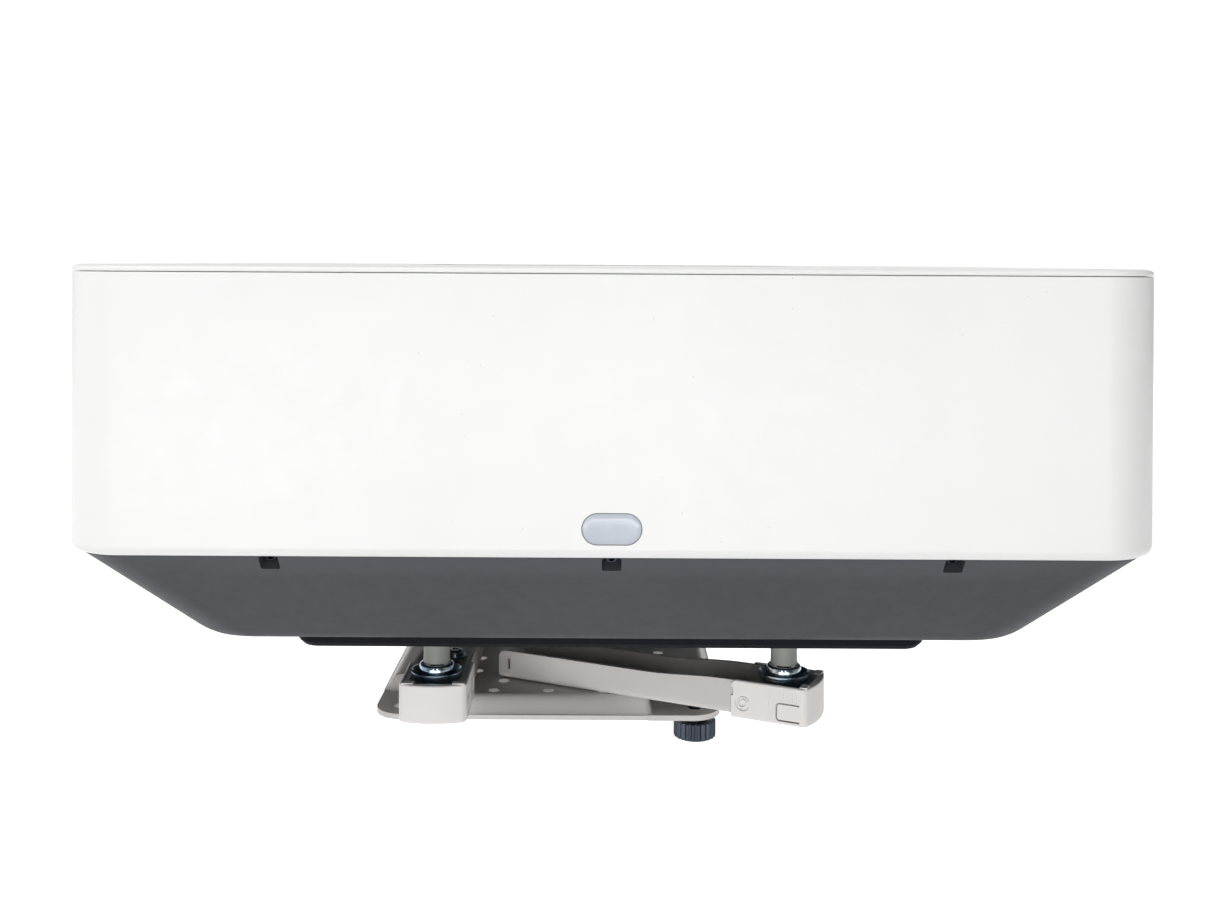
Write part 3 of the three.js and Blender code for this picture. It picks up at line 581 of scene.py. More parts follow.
def shell_piece():
    z0, z1 = SHELL_LOW.z, SHELL_HIGH.z
    outer = [casing(i, z) for i, z in rounded_edge(TUCK, 4, z0)]
    outer += [casing(0, z1 - 0.5), casing(0.15, z1 - 0.15), casing(0.5, z1)]
    inner = [casing(WALL, z1), casing(WALL, z0 + 4.5), casing(WALL + TUCK - 0.4, z0)]
    shell = build("shell_skin", *loft(outer + inner, loop=True))
    middle, size = spans("remote_window")[2:]
    w, h = size.x + 0.6, size.z + 0.6
    pill = upright(w, h, h / 2 - 0.01, [(0, SHELL_LOW.y - 10), (0, SHELL_LOW.y + 10)], middle, n=16)
    tools = [tool(loft(pill)), wall_opening("filter_door", 0.6), wall_opening("exhaust_grille", 0.3)]
    tools += [rear_opening("rear_panel", 0.3), rear_opening("mains_inlet", 0.3)]
    for node in ("power_button", "source_button"):
        middle = spans(node)[2]
        tools.append(rod(5.3, -10, 10, 48, centre=(SHELL_HIGH.x, middle.y, middle.z), matrix=ALONG_X))
    slots = []
    for i in range(SPEAKER_SLOTS):
        middle = Vector((0, SPEAKER_Y + (i - (SPEAKER_SLOTS - 1) / 2) * SLOT_PITCH, SPEAKER_Z))
        for x in (SHELL_LOW.x, SHELL_HIGH.x):
            slots.append(loft(upright(2.4, 38, 1.19, [(0, x - 8), (0, x + 8)], middle, facing_x, 6)))
    boolean(shell, [*tools, merged("tool", slots)])
    return dress(shell, "shell_white", replaces="upper_shell", bevel=0.25, sharp=40)


def lid_piece():
    middle, size = spans("lens_well")[2:]
    gap = 0.3

    def mouth(z, grow=0.0):
        out = 2 * (gap + grow)
        return ring(size.x + out, size.y + out, 14 + grow, z, BODY_X, middle.y)

    outer = [casing(0.3, LID_Z), casing(0, LID_Z + 0.4), casing(0, LID_Z + 1.0)]
    for i in range(1, 9):
        a = i / 8 * math.pi / 2
        outer.append(casing(4.3 * (1 - math.cos(a)), LID_Z + 1.0 + 1.65 * math.sin(a)))
    rings = outer + [mouth(LID_TOP, 0.8), mouth(LID_TOP - 0.2, 0.25), mouth(LID_TOP - 0.7), mouth(LID_Z)]
    lid = build("lid_skin", *loft(rings, loop=True))
    rim = [casing(WALL + 0.3, LID_Z - 5), casing(WALL + 0.3, LID_Z - 0.02),
           casing(WALL + 2, LID_Z - 0.02), casing(WALL + 2, LID_Z - 5)]
    boolean(lid, [tool(loft(rim, loop=True))], "UNION")
    return dress(lid, "shell_white", replaces="top_lid", bevel=0.12, sharp=50)


# The pan's slope runs from just under the seam to the pan's floor.
LIP = TUCK + 0.4                # from the casing's face to the top of the slope
SLOPE_Y0 = BODY_D / 2 - LIP
SLOPE_FALL = PAN_TOP - PAN_LOW.z
SLOPE_ANGLE = math.atan2(SLOPE_FALL, SLOPE_Y0 - PAN_D / 2)


def on_slope(x, below, rear=False):
    """Places +Z along the slope's outward normal and +Y up the slope."""
    centre = Vector((0, below * math.cos(SLOPE_ANGLE) - SLOPE_Y0, PAN_TOP - below * math.sin(SLOPE_ANGLE)))
    place = Matrix.Translation(centre) @ Matrix.Rotation(math.pi - SLOPE_ANGLE, 4, "X")
    turn = Matrix.Rotation(math.pi if rear else 0, 4, "Z")
    return Matrix.Translation((BODY_X + x, 0, 0)) @ turn @ place


def pan_piece():
    floor = PAN_LOW.z
    thick = WALL / math.sin(SLOPE_ANGLE)

    def level(t, inset, lift):
        """Ring at share t of the way up the slope, drawn in by inset."""
        w = PAN_W + (BODY_W - 2 * LIP - PAN_W) * t - 2 * inset
        d = PAN_D + (BODY_D - 2 * LIP - PAN_D) * t - 2 * inset
        r = PAN_R + (CORNER_R - LIP - PAN_R) * t - inset
        return ring(w, d, r, floor + SLOPE_FALL * t + lift, BODY_X, 0, n=20)

    rings = [level(0, thick, WALL), level(1, thick, 0), level(1, 0.5, 0), level(0.985, 0, 0)]
    rings += [level(t, 0, 0) for t in (0.75, 0.5, 0.25, 0.09)]
    rings += [level(0.05, 0.35, 0), level(0.02, 1.1, 0), level(0, 2.2, 0.25), level(0, 3.4, 0)]
    pan = build("pan_skin", *loft(rings))
    boss = block((-6.5, -5.2, -13), (6.5, 4.2, -1.4))
    pocket = loft(stepped(7.7, 8.0, 0.9, [(0, -5.5), (0, 6)], n=4))
    places = [(x, rear) for rear in (False, True) for x in SEAM_SCREWS.values()]
    bosses = [moved(boss, on_slope(x, 5.6, rear)) for x, rear in places]
    pockets = [moved(pocket, on_slope(x, POCKET_MIDDLE, rear)) for x, rear in places]
    boolean(pan, [merged("tool", bosses)], "UNION")
    boolean(pan, [merged("tool", pockets)])
    return dress(pan, "pan_charcoal", replaces="base_pan", bevel=0.25, sharp=38)


def cover_piece():
    low, high, _, size = spans("bottom_cover")
    steps = [(2.6, low.z), (2.2, low.z + 0.15), (0.3, low.z + 2.0), (0, low.z + 2.4), (0, high.z)]
    cover = build("cover_skin", *loft(stepped(size.x, size.y, 10, steps, BODY_X, shrink=1)))
    groove = [(0, low.z - 2), (0, low.z + 1.2)]
    grooves = [loft(stepped(3, 60, 1.49, groove, BODY_X + i * 9, n=6)) for i in range(-6, 7)]
    holes = [rod(3.3, low.z - 1, high.z + 1, 32, centre=(BODY_X + sx * STUD_X, sy * STUD_Y, 0))
             for sx, sy in CORNERS]
    boolean(cover, [merged("tool", grooves), *holes])
    return dress(cover, "cover_black", replaces="bottom_cover", bevel=0.2, sharp=38)


def window_piece():
    low, high, middle, size = spans("remote_window")
    w, h = size.x, size.z
    face = low.y
    steps = [(0, high.y), (0, face + 0.5), (0.12, face + 0.15), (0.5, face - 0.02), (2.2, face - 0.12)]
    lens = build("receiver_window", *loft(upright(w, h, h / 2 - 0.01, steps, middle, n=24, shrink=1)))
    dress(lens, "sensor_window", replaces="remote_window", sharp=40)
    steps = [(-0.02, face + 0.9), (-0.02, face + 0.35), (-0.28, face + 0.35), (-0.28, face + 0.9)]
    trim = upright(w, h, h / 2 - 0.01, steps, middle, n=24, shrink=1)
    dress(build("receiver_gasket", *loft(trim, loop=True)), "post_grey")


def socket_head_screw(name, place, slot="screw_steel", replaces=(), radius=3.0, height=2.6):
    """A domed machine screw head with a hexagon socket, standing on z = 0 of its place."""
    profile = [(0, 0), (radius, 0), (radius, height * 0.55), (radius * 0.93, height * 0.8),
               (radius * 0.7, height), (0, height)]
    head = turned(name, profile, 40, matrix=place)
    boolean(head, [rod(radius * 0.45, height * 0.35, height + 1, 6, matrix=place)])
    return dress(head, slot, replaces=replaces, bevel=0.12, sharp=40)


def seam_screws():
    seat = Matrix.Translation((0, 0, -5.2))
    for side, x in SEAM_SCREWS.items():
        front, rear = on_slope(x, POCKET_MIDDLE), on_slope(x, POCKET_MIDDLE, True)
        socket_head_screw(f"seam_screw_head_{side}", front @ seat, replaces=f"seam_screw_{side}")
        socket_head_screw(f"rear_seam_screw_{side}", rear @ seat)


def make_casing():
    shell_piece()
    lid_piece()
    pan_piece()
    cover_piece()
    window_piece()
    seam_screws()


# ---- side panels
def louvred_panel(name, node, slot, body, grip=False):
    """Wall panel with rounded slots; a slanting blade stands behind each slot."""
    low, high, middle, size = spans(node)
    side = 1 if middle.x > BODY_X else -1
    outside, inside = (high.x, low.x) if side > 0 else (low.x, high.x)
    steps = [(1.2, inside), (0, inside + side * 0.6), (0, outside - side * 0.5),
             (0.18, outside - side * 0.12), (0.7, outside)]
    panel = build(name, *loft(upright(size.y, size.z, 3.2, steps, middle, facing_x, 8, 0.8)))
    rows, columns, margin = 7, 2, 4.0
    pitch_y, pitch_z = (size.y - 2 * margin) / columns, (size.z - 2 * margin) / rows
    half = (pitch_y - 4) / 2 - 0.02
    back = inside - side * 2.6
    section = [(outside - side * 0.7, 0.27), (outside - side * 0.5, 0.13), (inside, -0.12), (back, -0.34),
               (back - side * 0.2, -0.2), (inside, 0.04)]
    through = [(0, outside - 6), (0, outside + 6)]
    tools, blades = [], []
    for row in range(rows):
        for column in range(columns):
            y = middle.y + (column - (columns - 1) / 2) * pitch_y
            z = middle.z + (row - (rows - 1) / 2) * pitch_z
            slot_shape = upright(pitch_y - 4, pitch_z * 0.52, 1.5, through, Vector((0, y, z)), facing_x, 5)
            tools.append(loft(slot_shape))
            blades.append(loft([[Vector((x, y + t, z + pitch_z * rise)) for x, rise in section]
                                for t in (-half, half)]))
    if grip:
        notch = [(0, outside - side), (0, outside + side)]
        tools.append(loft(upright(26, 5, 2.4, notch, Vector((0, middle.y, high.z - 3.2)), facing_x, 8)))
    boolean(panel, [merged("tool", tools)])
    dress(panel, slot, body, node, bevel=0.28, sharp=42)
    dress(merged(f"{name}_blades", blades), slot, body, bevel=0.15, sharp=35)


def filter_pack():
    """Pleated fleece in a slim card frame."""
    low, high, middle, size = spans("air_filter")
    pleats, points = 30, 4
    front = []
    for i in range(pleats * points + 1):
        t = i / (pleats * points)
        wave = 0.5 - 0.5 * math.cos(2 * math.pi * t * pleats)
        front.append((low.x + 0.6 + (size.x - 2.2) * wave, low.y + 2.5 + (size.y - 5) * t))
    outline = [Vector(p) for p in front + [(x + 0.9, y) for x, y in reversed(front)]]
    pleated = build("pleated_filter", *prism(outline, low.z + 2, high.z - 2))
    dress(pleated, "filter_fleece", replaces="air_filter", sharp=60)
    section = [(0, low.x), (2.6, low.x), (2.6, high.x), (0, high.x)]
    rim = upright(size.y, size.z, 2, section, middle, facing_x, 5)
    dress(build("filter_rim", *loft(rim, loop=True)), "cap_white", bevel=0.3, sharp=40)


def key_pieces():
    """Two round keys with a dished face and a retaining flange."""
    for node, body in (("power_button", "power_key"), ("source_button", "source_key")):
        low, high, middle, _ = spans(node)
        flange = [(0, 0), (3, 0), (3, 1.4), (6.2, 1.4), (6.4, 1.6), (6.4, 2.8), (6.2, 3), (5, 3.1)]
        dish = [(5, -0.7), (4.85, -0.25), (4.5, 0), (4.1, 0), (3.2, -0.22), (1.8, -0.36), (0.8, -0.4),
                (0, -0.41)]
        profile = [(r, low.x + x) for r, x in flange] + [(r, high.x + x) for r, x in dish]
        place = Matrix.Translation((0, middle.y, middle.z)) @ ALONG_X
        dress(turned(f"{node}_cap", profile, 72, matrix=place), "pan_charcoal", body, node, sharp=50)


# ---- rear connectors
def socket_piece(node, taper):
    """Folded sheet shell with a contact tongue; taper chamfers the lower corners."""
    low, high, middle, size = spans(node)

    def outline(by):
        a, b, c = size.x / 2 - by, size.z / 2 - by, taper
        right = [(a - c * 0.7, -b), (a, c - b), (a, b)]
        return filleted([(x, z, 0.5) for x, z in [(-x, z) for x, z in reversed(right)] + right], 4)

    front, back = high.y, low.y
    steps = [(0, back), (0, front - 0.15), (0.12, front), (0.45, front), (0.55, front - 0.15),
             (0.55, back + 2)]
    shell = build(f"{node}_shell", *loft([facing_y(outline(by), middle, y) for by, y in steps]))
    dress(shell, "socket_metal", replaces=node, sharp=40)
    z = high.z - 2.1
    tongue = block((low.x + 2.6, back + 1.5, z - 0.5), (high.x - 2.6, front - 3, z + 0.4))
    dress(build(f"{node}_tongue", *tongue), "fan_black", bevel=0.15)
    pitch = 0.9
    count = int((size.x - 6.4) / pitch)
    pins = []
    for i in range(count + 1):
        x = middle.x + (i - count / 2) * pitch
        pins.append(block((x - 0.2, back + 3, z - 0.62), (x + 0.2, front - 3.6, z - 0.45)))
    dress(merged(f"{node}_contacts", pins), "nut_zinc", bevel=0.04, segments=1)


def rear_panel_piece():
    low, high, middle, size = spans("rear_panel")
    front, back = high.y, low.y
    steps = [(0, back), (0, front - 0.4), (0.4, front), (1.1, front), (1.5, front - 0.5), (2.2, back + 3.0),
             (2.8, back + 2.5)]
    tray = build("connector_tray", *loft(upright(size.x, size.z, 3.0, steps, middle, n=6)))
    through = [(0, back - 3), (0, back + 6)]
    tools = []
    for node in ("video_socket_1", "video_socket_2", "data_socket"):
        _, _, centre, hole = spans(node)
        tools.append(loft(upright(hole.x + 0.7, hole.z + 0.7, 0.8, through, centre, n=4)))
    jack = spans("audio_socket")
    tools.append(loft(upright(9.4, 9.4, 4.69, through, jack[2], n=12)))
    for i in range(9):
        centre = Vector((high.x - 60 + i * 6, 0, middle.z))
        tools.append(loft(upright(3, 18, 1.49, [(0, back + 1.4), (0, back + 6)], centre, n=6)))
    boolean(tray, [merged("tool", tools)])
    dress(tray, "well_black", replaces="rear_panel", bevel=0.25, sharp=42)
    barrel = [(0, 2), (1.8, 2), (1.8, 11.6), (2.1, 12), (3.4, 12), (3.4, 11.7), (4.0, 11.7), (4.4, 11.4),
              (4.4, 0), (0, 0)]
    seat = Matrix.Translation((jack[2].x, jack[0].y, jack[2].z)) @ Matrix.Rotation(-math.pi / 2, 4, "X")
    dress(turned("audio_jack", barrel, 56, matrix=seat), "fan_black", replaces="audio_socket", sharp=35)
    collar = [(1.85, 11.7), (1.85, 12.05), (3.0, 12.05), (3.1, 11.9), (3.1, 11.7), (1.85, 11.7)]
    dress(turned("audio_jack_collar", collar, 56, matrix=seat), "socket_metal", sharp=35)


def mains_inlet_piece():
    low, high, middle, size = spans("mains_inlet")
    face = high.y
    steps = [(0, low.y), (0, face - 1.0), (0.25, face - 0.3), (0.9, face)]
    body = build("inlet_body", *loft(upright(size.x, size.z, 2.2, steps, middle, n=6)))
    a, b, c = size.x / 2 - 3, size.z / 2 - 3, 4.5
    corners = [(-a, -b), (a, -b), (a, b - c), (a - c, b), (c - a, b), (-a, b - c)]
    cavity = filleted([(x, z, 1) for x, z in corners], 4)
    boolean(body, [tool(loft([facing_y(cavity, middle, y) for y in (face - 14, face + 4)]))])
    dress(body, "fan_black", replaces="mains_inlet", bevel=0.3, sharp=40)
    blades = []
    for dx, dz in ((-7, -2), (0, 1.6), (7, -2)):
        tip = [(0, face - 14.2), (0, face - 4.2), (0.25, face - 3.4), (0.7, face - 3.0)]
        centre = middle + Vector((dx, 0, dz))
        blades.append(loft([facing_y(ring(2 - 1.6 * i, 4 - 2 * i, 0.3, 0, n=3), centre, y) for i, y in tip]))
    dress(merged("inlet_blades", blades), "socket_metal", sharp=45)


# ---- lens well and optics
AXIS_Z = 138                    # the lens's axis, over the middle of the body
WHEEL_X = BODY_X - 83


def well_piece():
    """Black bowl with stepped light traps round the window opening."""
    low, high, top, size = spans("lens_well")
    glass_low, glass_high, glass, pane = spans("lens_window")
    floor_w, floor_d, floor_y = 160, 110, 5

    def level(t, inset, z, radius):
        """Ring at share t of the way from the floor to the brim."""
        w, d = floor_w + (size.x - floor_w) * t, floor_d + (size.y - floor_d) * t
        y = floor_y + (top.y - floor_y) * t
        return ring(w - 2 * inset, d - 2 * inset, radius - inset, z, BODY_X, y, 12)

    brim, first_trap = 0.97, 0.93
    outer = [level(0, 0, low.z, 12), level(brim, 0, high.z - 0.6, 14), level(brim, 0.3, high.z - 0.1, 14)]
    inner = [level(brim, 1.1, high.z + 0.1, 14), level(brim, 1.9, high.z - 0.3, 14)]
    traps, rise = 9, size.z - 2.6
    for i in range(traps):
        t = first_trap * (1 - i / traps)
        z = low.z + 2.2 + rise * t
        inner += [level(t, 2.2, z, 14), level(t, 2.3, z - rise * first_trap / traps * 0.72, 14)]
    steps = [(-1.4, low.z + 2.2), (-0.5, low.z + 1.9), (0, low.z + 1.2), (0, low.z)]
    hole = stepped(pane.x - 12, pane.y - 12, 8, steps, BODY_X, glass.y, 12, 1)
    bowl = build("well_bowl", *loft(outer + inner + hole, loop=True))
    dress(bowl, "well_black", replaces="lens_well", sharp=38)
    steps = [(i, glass_high.z + lift) for i, lift in ((0, 0.02), (0, 0.12), (9, 0.12), (9, 0.02))]
    mask = stepped(pane.x - 1, pane.y - 1, 6, steps, BODY_X, glass.y)
    dress(build("window_mask", *loft(mask, loop=True)), "well_black", sharp=30)
    steps = [(0.5, glass_low.z), (0, glass_low.z + 0.5), (0, glass_high.z - 0.5), (0.5, glass_high.z)]
    sheet = stepped(pane.x, pane.y, 6, steps, BODY_X, glass.y)
    dress(build("window_pane", *loft(sheet)), "lens_glass", replaces="lens_window", sharp=25)


def shutter_piece():
    low, high, middle, size = spans("lens_shutter")
    z, y, half = low.z, middle.y, size.x / 2
    steps = [(0.5, z), (0, z + 0.4), (0, z + 1.8), (0.4, z + 2.2)]
    plate = build("shutter_blade", *loft(stepped(size.x, size.y, 6, steps, BODY_X, y)))
    left, right = BODY_X - half + 8, BODY_X + half - 8
    grooves = [block((left, y + i * 7 - 0.4, z + 1.95), (right, y + i * 7 + 0.4, z + 4))
               for i in range(-5, 5)]
    boolean(plate, [merged("tool", grooves)])
    lip = block((BODY_X - 20, high.y - 4.8, z + 1.9), (BODY_X + 20, high.y - 3.2, high.z))
    boolean(plate, [tool(lip)], "UNION")
    dress(plate, "shutter_dark", "shutter", "lens_shutter", bevel=0.2, sharp=40)


def lens_pieces():
    facing = Matrix.Translation((BODY_X, 0, AXIS_Z)) @ Matrix.Rotation(math.pi / 2, 4, "X")
    barrel = [(25, -99.6), (34.5, -99.6), (34.5, -94.3), (34.1, -94), (29.6, -94), (29, -93.4), (29, -86),
              (29, -62), (28.2, -60.4), (27.5, -60), (27.5, -46.4), (27.1, -46), (25.4, -46), (25, -46.4),
              (25, -99.6)]
    dress(turned("barrel_tube", barrel, 96, matrix=facing), "well_black", replaces="lens_barrel", sharp=32)
    grip = knurled("focus_grip", -84, -66, 33.5, 36, 0.7, facing)
    boolean(grip, [rod(29.6, -90, -60, 96, matrix=facing)])
    lever = filleted([(32.4, -2.5, 0), (44, -2.5, 1.6), (44, 2.5, 1.6), (32.4, 2.5, 0)])
    boolean(grip, [tool(moved(prism(lever, -78, -72), facing))], "UNION")
    dress(grip, "well_black", "focus", "focus_ring", bevel=0.2, sharp=45)
    cell = [(0, -72), (24, -72), (24.4, -71.6), (24.4, -31), (24.0, -30.4), (22.9, -27.2), (22.5, -27),
            (21.4, -27), (20.9, -27.6), (20.5, -30.5), (20.5, -33), (0, -33)]
    tube = turned("front_cell_tube", cell, 96, matrix=facing)
    dress(tube, "cell_glass", "front_cell", "lens_front_cell", sharp=32)
    radius, sag, steps = 20.2, 6.6, 12
    curve = (radius ** 2 + sag ** 2) / (2 * sag)
    dome = [(0, -32.6), (radius, -32.6), (radius, -30.6)]
    for i in range(1, steps + 1):
        r = radius * (1 - i / steps)
        dome.append((r, -30.6 + math.sqrt(curve ** 2 - r ** 2) - (curve - sag)))
    dress(turned("front_element", dome, 96, matrix=facing), "lens_glass", "front_cell", sharp=30)


def mirror_piece():
    """Concave mirror: a spherical hollow in a flared slab."""
    low, high = node_box("curved_mirror")
    radius, centre_y, centre_z = 170, 120, 130
    columns, rows = 48, 28

    def place(i, j, back):
        t = j / rows
        z = low.z + (high.z - low.z) * t
        half = 64 + 11 * t
        x = half * (2 * i / columns - 1)
        y = low.y if back else centre_y - math.sqrt(radius ** 2 - x * x - (z - centre_z) ** 2)
        return (BODY_X + x, min(y, high.y), z)

    n = columns + 1
    verts = [place(i, j, back) for back in (False, True) for j in range(rows + 1) for i in range(n)]
    offset = n * (rows + 1)
    faces = grid_faces(rows, columns) + grid_faces(rows, columns, offset)
    rim = [(i, 0) for i in range(columns)] + [(columns, j) for j in range(rows)]
    rim += [(i, rows) for i in range(columns, 0, -1)] + [(0, j) for j in range(rows, 0, -1)]
    for k, (i, j) in enumerate(rim):
        ni, nj = rim[(k + 1) % len(rim)]
        faces.append((j * n + i, nj * n + ni, offset + nj * n + ni, offset + j * n + i))
    bowl = build("mirror_bowl", verts, faces)
    dress(bowl, "mirror_silver", replaces="curved_mirror", bevel=0.3, sharp=45)


def wheel_pieces():
    middle = spans("phosphor_wheel")[2]
    seat = Matrix.Translation((WHEEL_X, middle.y, middle.z)) @ ALONG_X
    disc = [(2.4, -3), (7.6, -3), (8, -2.6), (8, -0.8), (28.8, -0.8), (29, -0.6), (29, 0.6), (28.8, 0.8),
            (27.6, 0.8), (27.6, 1.0), (20.6, 1.0), (20.6, 0.8), (10, 0.8), (9, 2), (2.4, 2), (2.4, -3)]
    wheel = turned("phosphor_disc", disc, 96, matrix=seat)
    spots = [Matrix.Rotation(i * math.pi / 3, 4, "Z") @ Matrix.Translation((15, 0, 0)) for i in range(6)]
    boolean(wheel, [joined("tool", [rod(1.6, -3, 3, matrix=seat @ spot) for spot in spots])])
    dress(wheel, "phosphor_disc", "wheel", "phosphor_wheel", sharp=35)
    motor = [(0, -20), (13.5, -20), (14, -19.6), (14, -18.2), (13.7, -18), (12, -18), (12, -5.4), (11.6, -5),
             (10, -4), (2, -4), (2, 2.6), (1.6, 3), (0, 3)]
    dress(turned("wheel_motor_can", motor, 72, matrix=seat), "fan_black", replaces="wheel_motor", sharp=32)


# ---- fans and speakers
def fan_blade(turn):
    """Twisted, cambered blade as a loft of thin sections outwards from the hub."""
    rings = []
    for k in range(8):
        t = k / 7
        r = 15.4 + 20.6 * t
        pitch = 0.62 + 0.28 * t
        chord = 17 + 3 * math.sin(math.pi * t)
        lead = 0.22 * t * t
        outline = []
        for side in (1, -1):
            stations = range(9) if side > 0 else range(8, -1, -1)
            for i in stations:
                s = i / 8 - 0.5
                thick = 0.75 * (1 - 0.8 * (2 * s) ** 2) * side
                camber = 1.6 * (1 - (2 * s) ** 2)
                across, along = chord * s, camber + thick
                x = across * math.sin(pitch) + along * math.cos(pitch)
                z = across * math.cos(pitch) - along * math.sin(pitch)
                a = turn + lead - x / r
                outline.append(Vector((r * math.cos(a), r * math.sin(a), 12.9 + z * 0.92)))
        rings.append(outline)
    return loft(rings)


def fan_strut(start):
    """A flat strut that sweeps out from the hub to the frame."""
    rings = []
    for k in range(9):
        r = 14 + 25 * k / 8
        a = start + 0.5 * (k / 8) ** 1.5
        across = Vector((-math.sin(a), math.cos(a), 0))
        middle = Vector((r * math.cos(a), r * math.sin(a), 0))
        rings.append([middle + across * t + Vector((0, 0, z))
                      for t, z in ((-1.5, 0.3), (1.5, 0.3), (1.2, 2.7), (-1.2, 2.7))])
    return loft(rings)


def screw_holes(spacing, radius, low, high, sides, seat):
    return [rod(radius, low, high, sides, matrix=seat @ Matrix.Translation((sx * spacing, sy * spacing, 0)))
            for sx, sy in CORNERS]


def fan_pieces(label):
    seat, size = wall_seat(f"{label}_fan_frame")
    depth, bore = size.x, 37.5
    steps = [(0.4, 0), (0, 0.4), (0, 4.2), (1.8, 5.0), (1.8, depth - 5.0), (0, depth - 4.2), (0, depth - 0.4),
             (0.4, depth)]
    housing = build(f"{label}_fan_housing", *moved(loft(stepped(size.y, size.y, 6, steps, n=8)), seat))
    duct = [(0, -2), (bore + 1.4, -2), (bore, 2.4), (bore, depth - 2.4), (bore + 1.4, depth + 2),
            (0, depth + 2)]
    tools = [turned("tool", duct, 96, matrix=seat), *screw_holes(35.7, 2.1, -2, depth + 2, 24, seat)]
    boolean(housing, [joined("tool", tools)])
    hub = [(0, 0), (15.4, 0), (16, 0.6), (16, 2.4), (15.4, 3), (3.6, 3), (3.4, 11.6), (3, 12), (0, 12)]
    struts = [moved(fan_strut(i * math.pi / 2), seat) for i in range(4)]
    boolean(housing, [turned("tool", hub, 64, matrix=seat)], "UNION")
    boolean(housing, [merged("tool", struts)], "UNION")
    dress(housing, "fan_black", replaces=f"{label}_fan_frame", bevel=0.2, sharp=42)
    cup = [(4.2, 4.2), (15.4, 3.8), (16, 4.4), (16, 20.4), (15.6, 21.3), (14.6, 21.9), (12, 22), (5, 22),
           (4.6, 21.4), (0, 21.4), (0, 14), (4.2, 14), (4.2, 4.2)]
    blades = 7
    shapes = [moved(fan_blade(i * 2 * math.pi / blades), seat) for i in range(blades)]
    rotor = turned(f"{label}_fan_impeller", cup, 72, matrix=seat)
    boolean(rotor, [merged("tool", shapes)], "UNION")
    dress(rotor, "pan_charcoal", f"{label}_rotor", f"{label}_fan_rotor", sharp=38)


def speaker_pieces(label):
    seat, size = wall_seat(f"speaker_{label}")
    depth, side = size.x, 54
    magnet = [(10, 0), (9.4, 0.6), (9, 10)]
    flange = [(2, 19), (0.4, depth - 4), (0, depth - 3.6), (0, depth - 0.4), (0.4, depth)]
    rings = stepped(side, side, 14, magnet, n=8) + stepped(side, side, 8, flange, n=8)
    basket = build(f"speaker_basket_{label}", *moved(loft(rings), seat))
    bowl = [(0, 8), (8, 8), (24, depth - 3), (24, depth + 2), (0, depth + 2)]
    tools = [turned("tool", bowl, 72, matrix=seat), *screw_holes(22.6, 1.7, depth - 6, depth + 2, 20, seat)]
    boolean(basket, [joined("tool", tools)])
    dress(basket, "speaker_black", replaces=f"speaker_{label}", bevel=0.3, sharp=40)
    cone = [(0, 15.4), (3, 15.0), (6, 13.6), (8, 11.4), (8.4, 11.2), (18.6, 20.2)]
    surround = [math.pi * (1 - i / 10) for i in range(1, 10)]
    cone += [(20.9 + 2.3 * math.cos(a), 20.2 + 2.3 * math.sin(a)) for a in surround]
    cone += [(23.6, 20.2), (23.6, 19.4), (18.4, 19.2), (8, 10.0), (0, 10.0)]
    dress(turned(f"speaker_cone_{label}", cone, 80, matrix=seat), "well_black", sharp=30)


def make_inside():
    louvred_panel("filter_door_panel", "filter_door", "shell_white", "door", grip=True)
    louvred_panel("exhaust_louvres", "exhaust_grille", "pan_charcoal", "root")
    filter_pack()
    key_pieces()
    rear_panel_piece()
    for node, taper in (("video_socket_1", 2.2), ("video_socket_2", 2.2), ("data_socket", 0.6)):
        socket_piece(node, taper)
    mains_inlet_piece()
    well_piece()
    shutter_piece()
    lens_pieces()
    mirror_piece()
    wheel_pieces()
    for label in ("intake", "exhaust"):
        fan_pieces(label)
    for label in ("left", "right"):
        speaker_pieces(label)


# ---- ceiling adapter
PLATE_LOW, PLATE_HIGH = node_box("adapter_plate")
PLATE_W = PLATE_HIGH.x - PLATE_LOW.x
PLATE_T = 2.5
PLATE_R = 14
SKIRT = 7.0
EAR_INNER = 47.6                # the sunk ears start this far from the plate's centre lines
EAR_R = 9
EAR_HOLE = 69
PLATE_HOLES = [(36, 20.5), (36, 41), (22, 56), (25.6, 70), (0, 70), (54, 10)]
ARM_W, ARM_T, ARM_Z = 27, 2, 2.8
ARM_TOP, ARM_END_TOP, ARM_TIP = 16.3, 18.3, 13.5
CAP_BACK, CAP_HALF, CAP_FRONT, CAP_BOW = -20, 15, 14.2, 3.0
CAP_LOW, CAP_HIGH = 2.0, 18.9
SHORT_ARM, LONG_ARM = 91, 139
LONG_YAW = math.radians(24.7)
LEGS = {"front_left": (-math.pi / 2, SHORT_ARM), "front_right": (-LONG_YAW, LONG_ARM),
        "rear_left": (math.pi / 2, SHORT_ARM), "rear_right": (LONG_YAW, LONG_ARM)}


def smooth(t):
    t = min(1.0, max(0.0, t))
    return t * t * (3 - 2 * t)


def plate_height(x, y):
    """Middle of the pressed sheet: a plateau with a rolled skirt and four sunk ears."""
    half, r = PLATE_W / 2, PLATE_R
    qx, qy = abs(x) - (half - r), abs(y) - (half - r)
    edge = r - math.hypot(max(qx, 0), max(qy, 0)) - min(max(qx, qy), 0)
    ax, ay = EAR_INNER + EAR_R - abs(x), EAR_INNER + EAR_R - abs(y)
    ear = math.hypot(max(ax, 0), max(ay, 0)) + min(max(ax, ay), 0) - EAR_R
    low, high = PLATE_LOW.z + PLATE_T / 2, PLATE_HIGH.z - PLATE_T / 2
    return low + (high - low) * smooth(edge / SKIRT) * smooth((ear + 0.8) / 3.4)


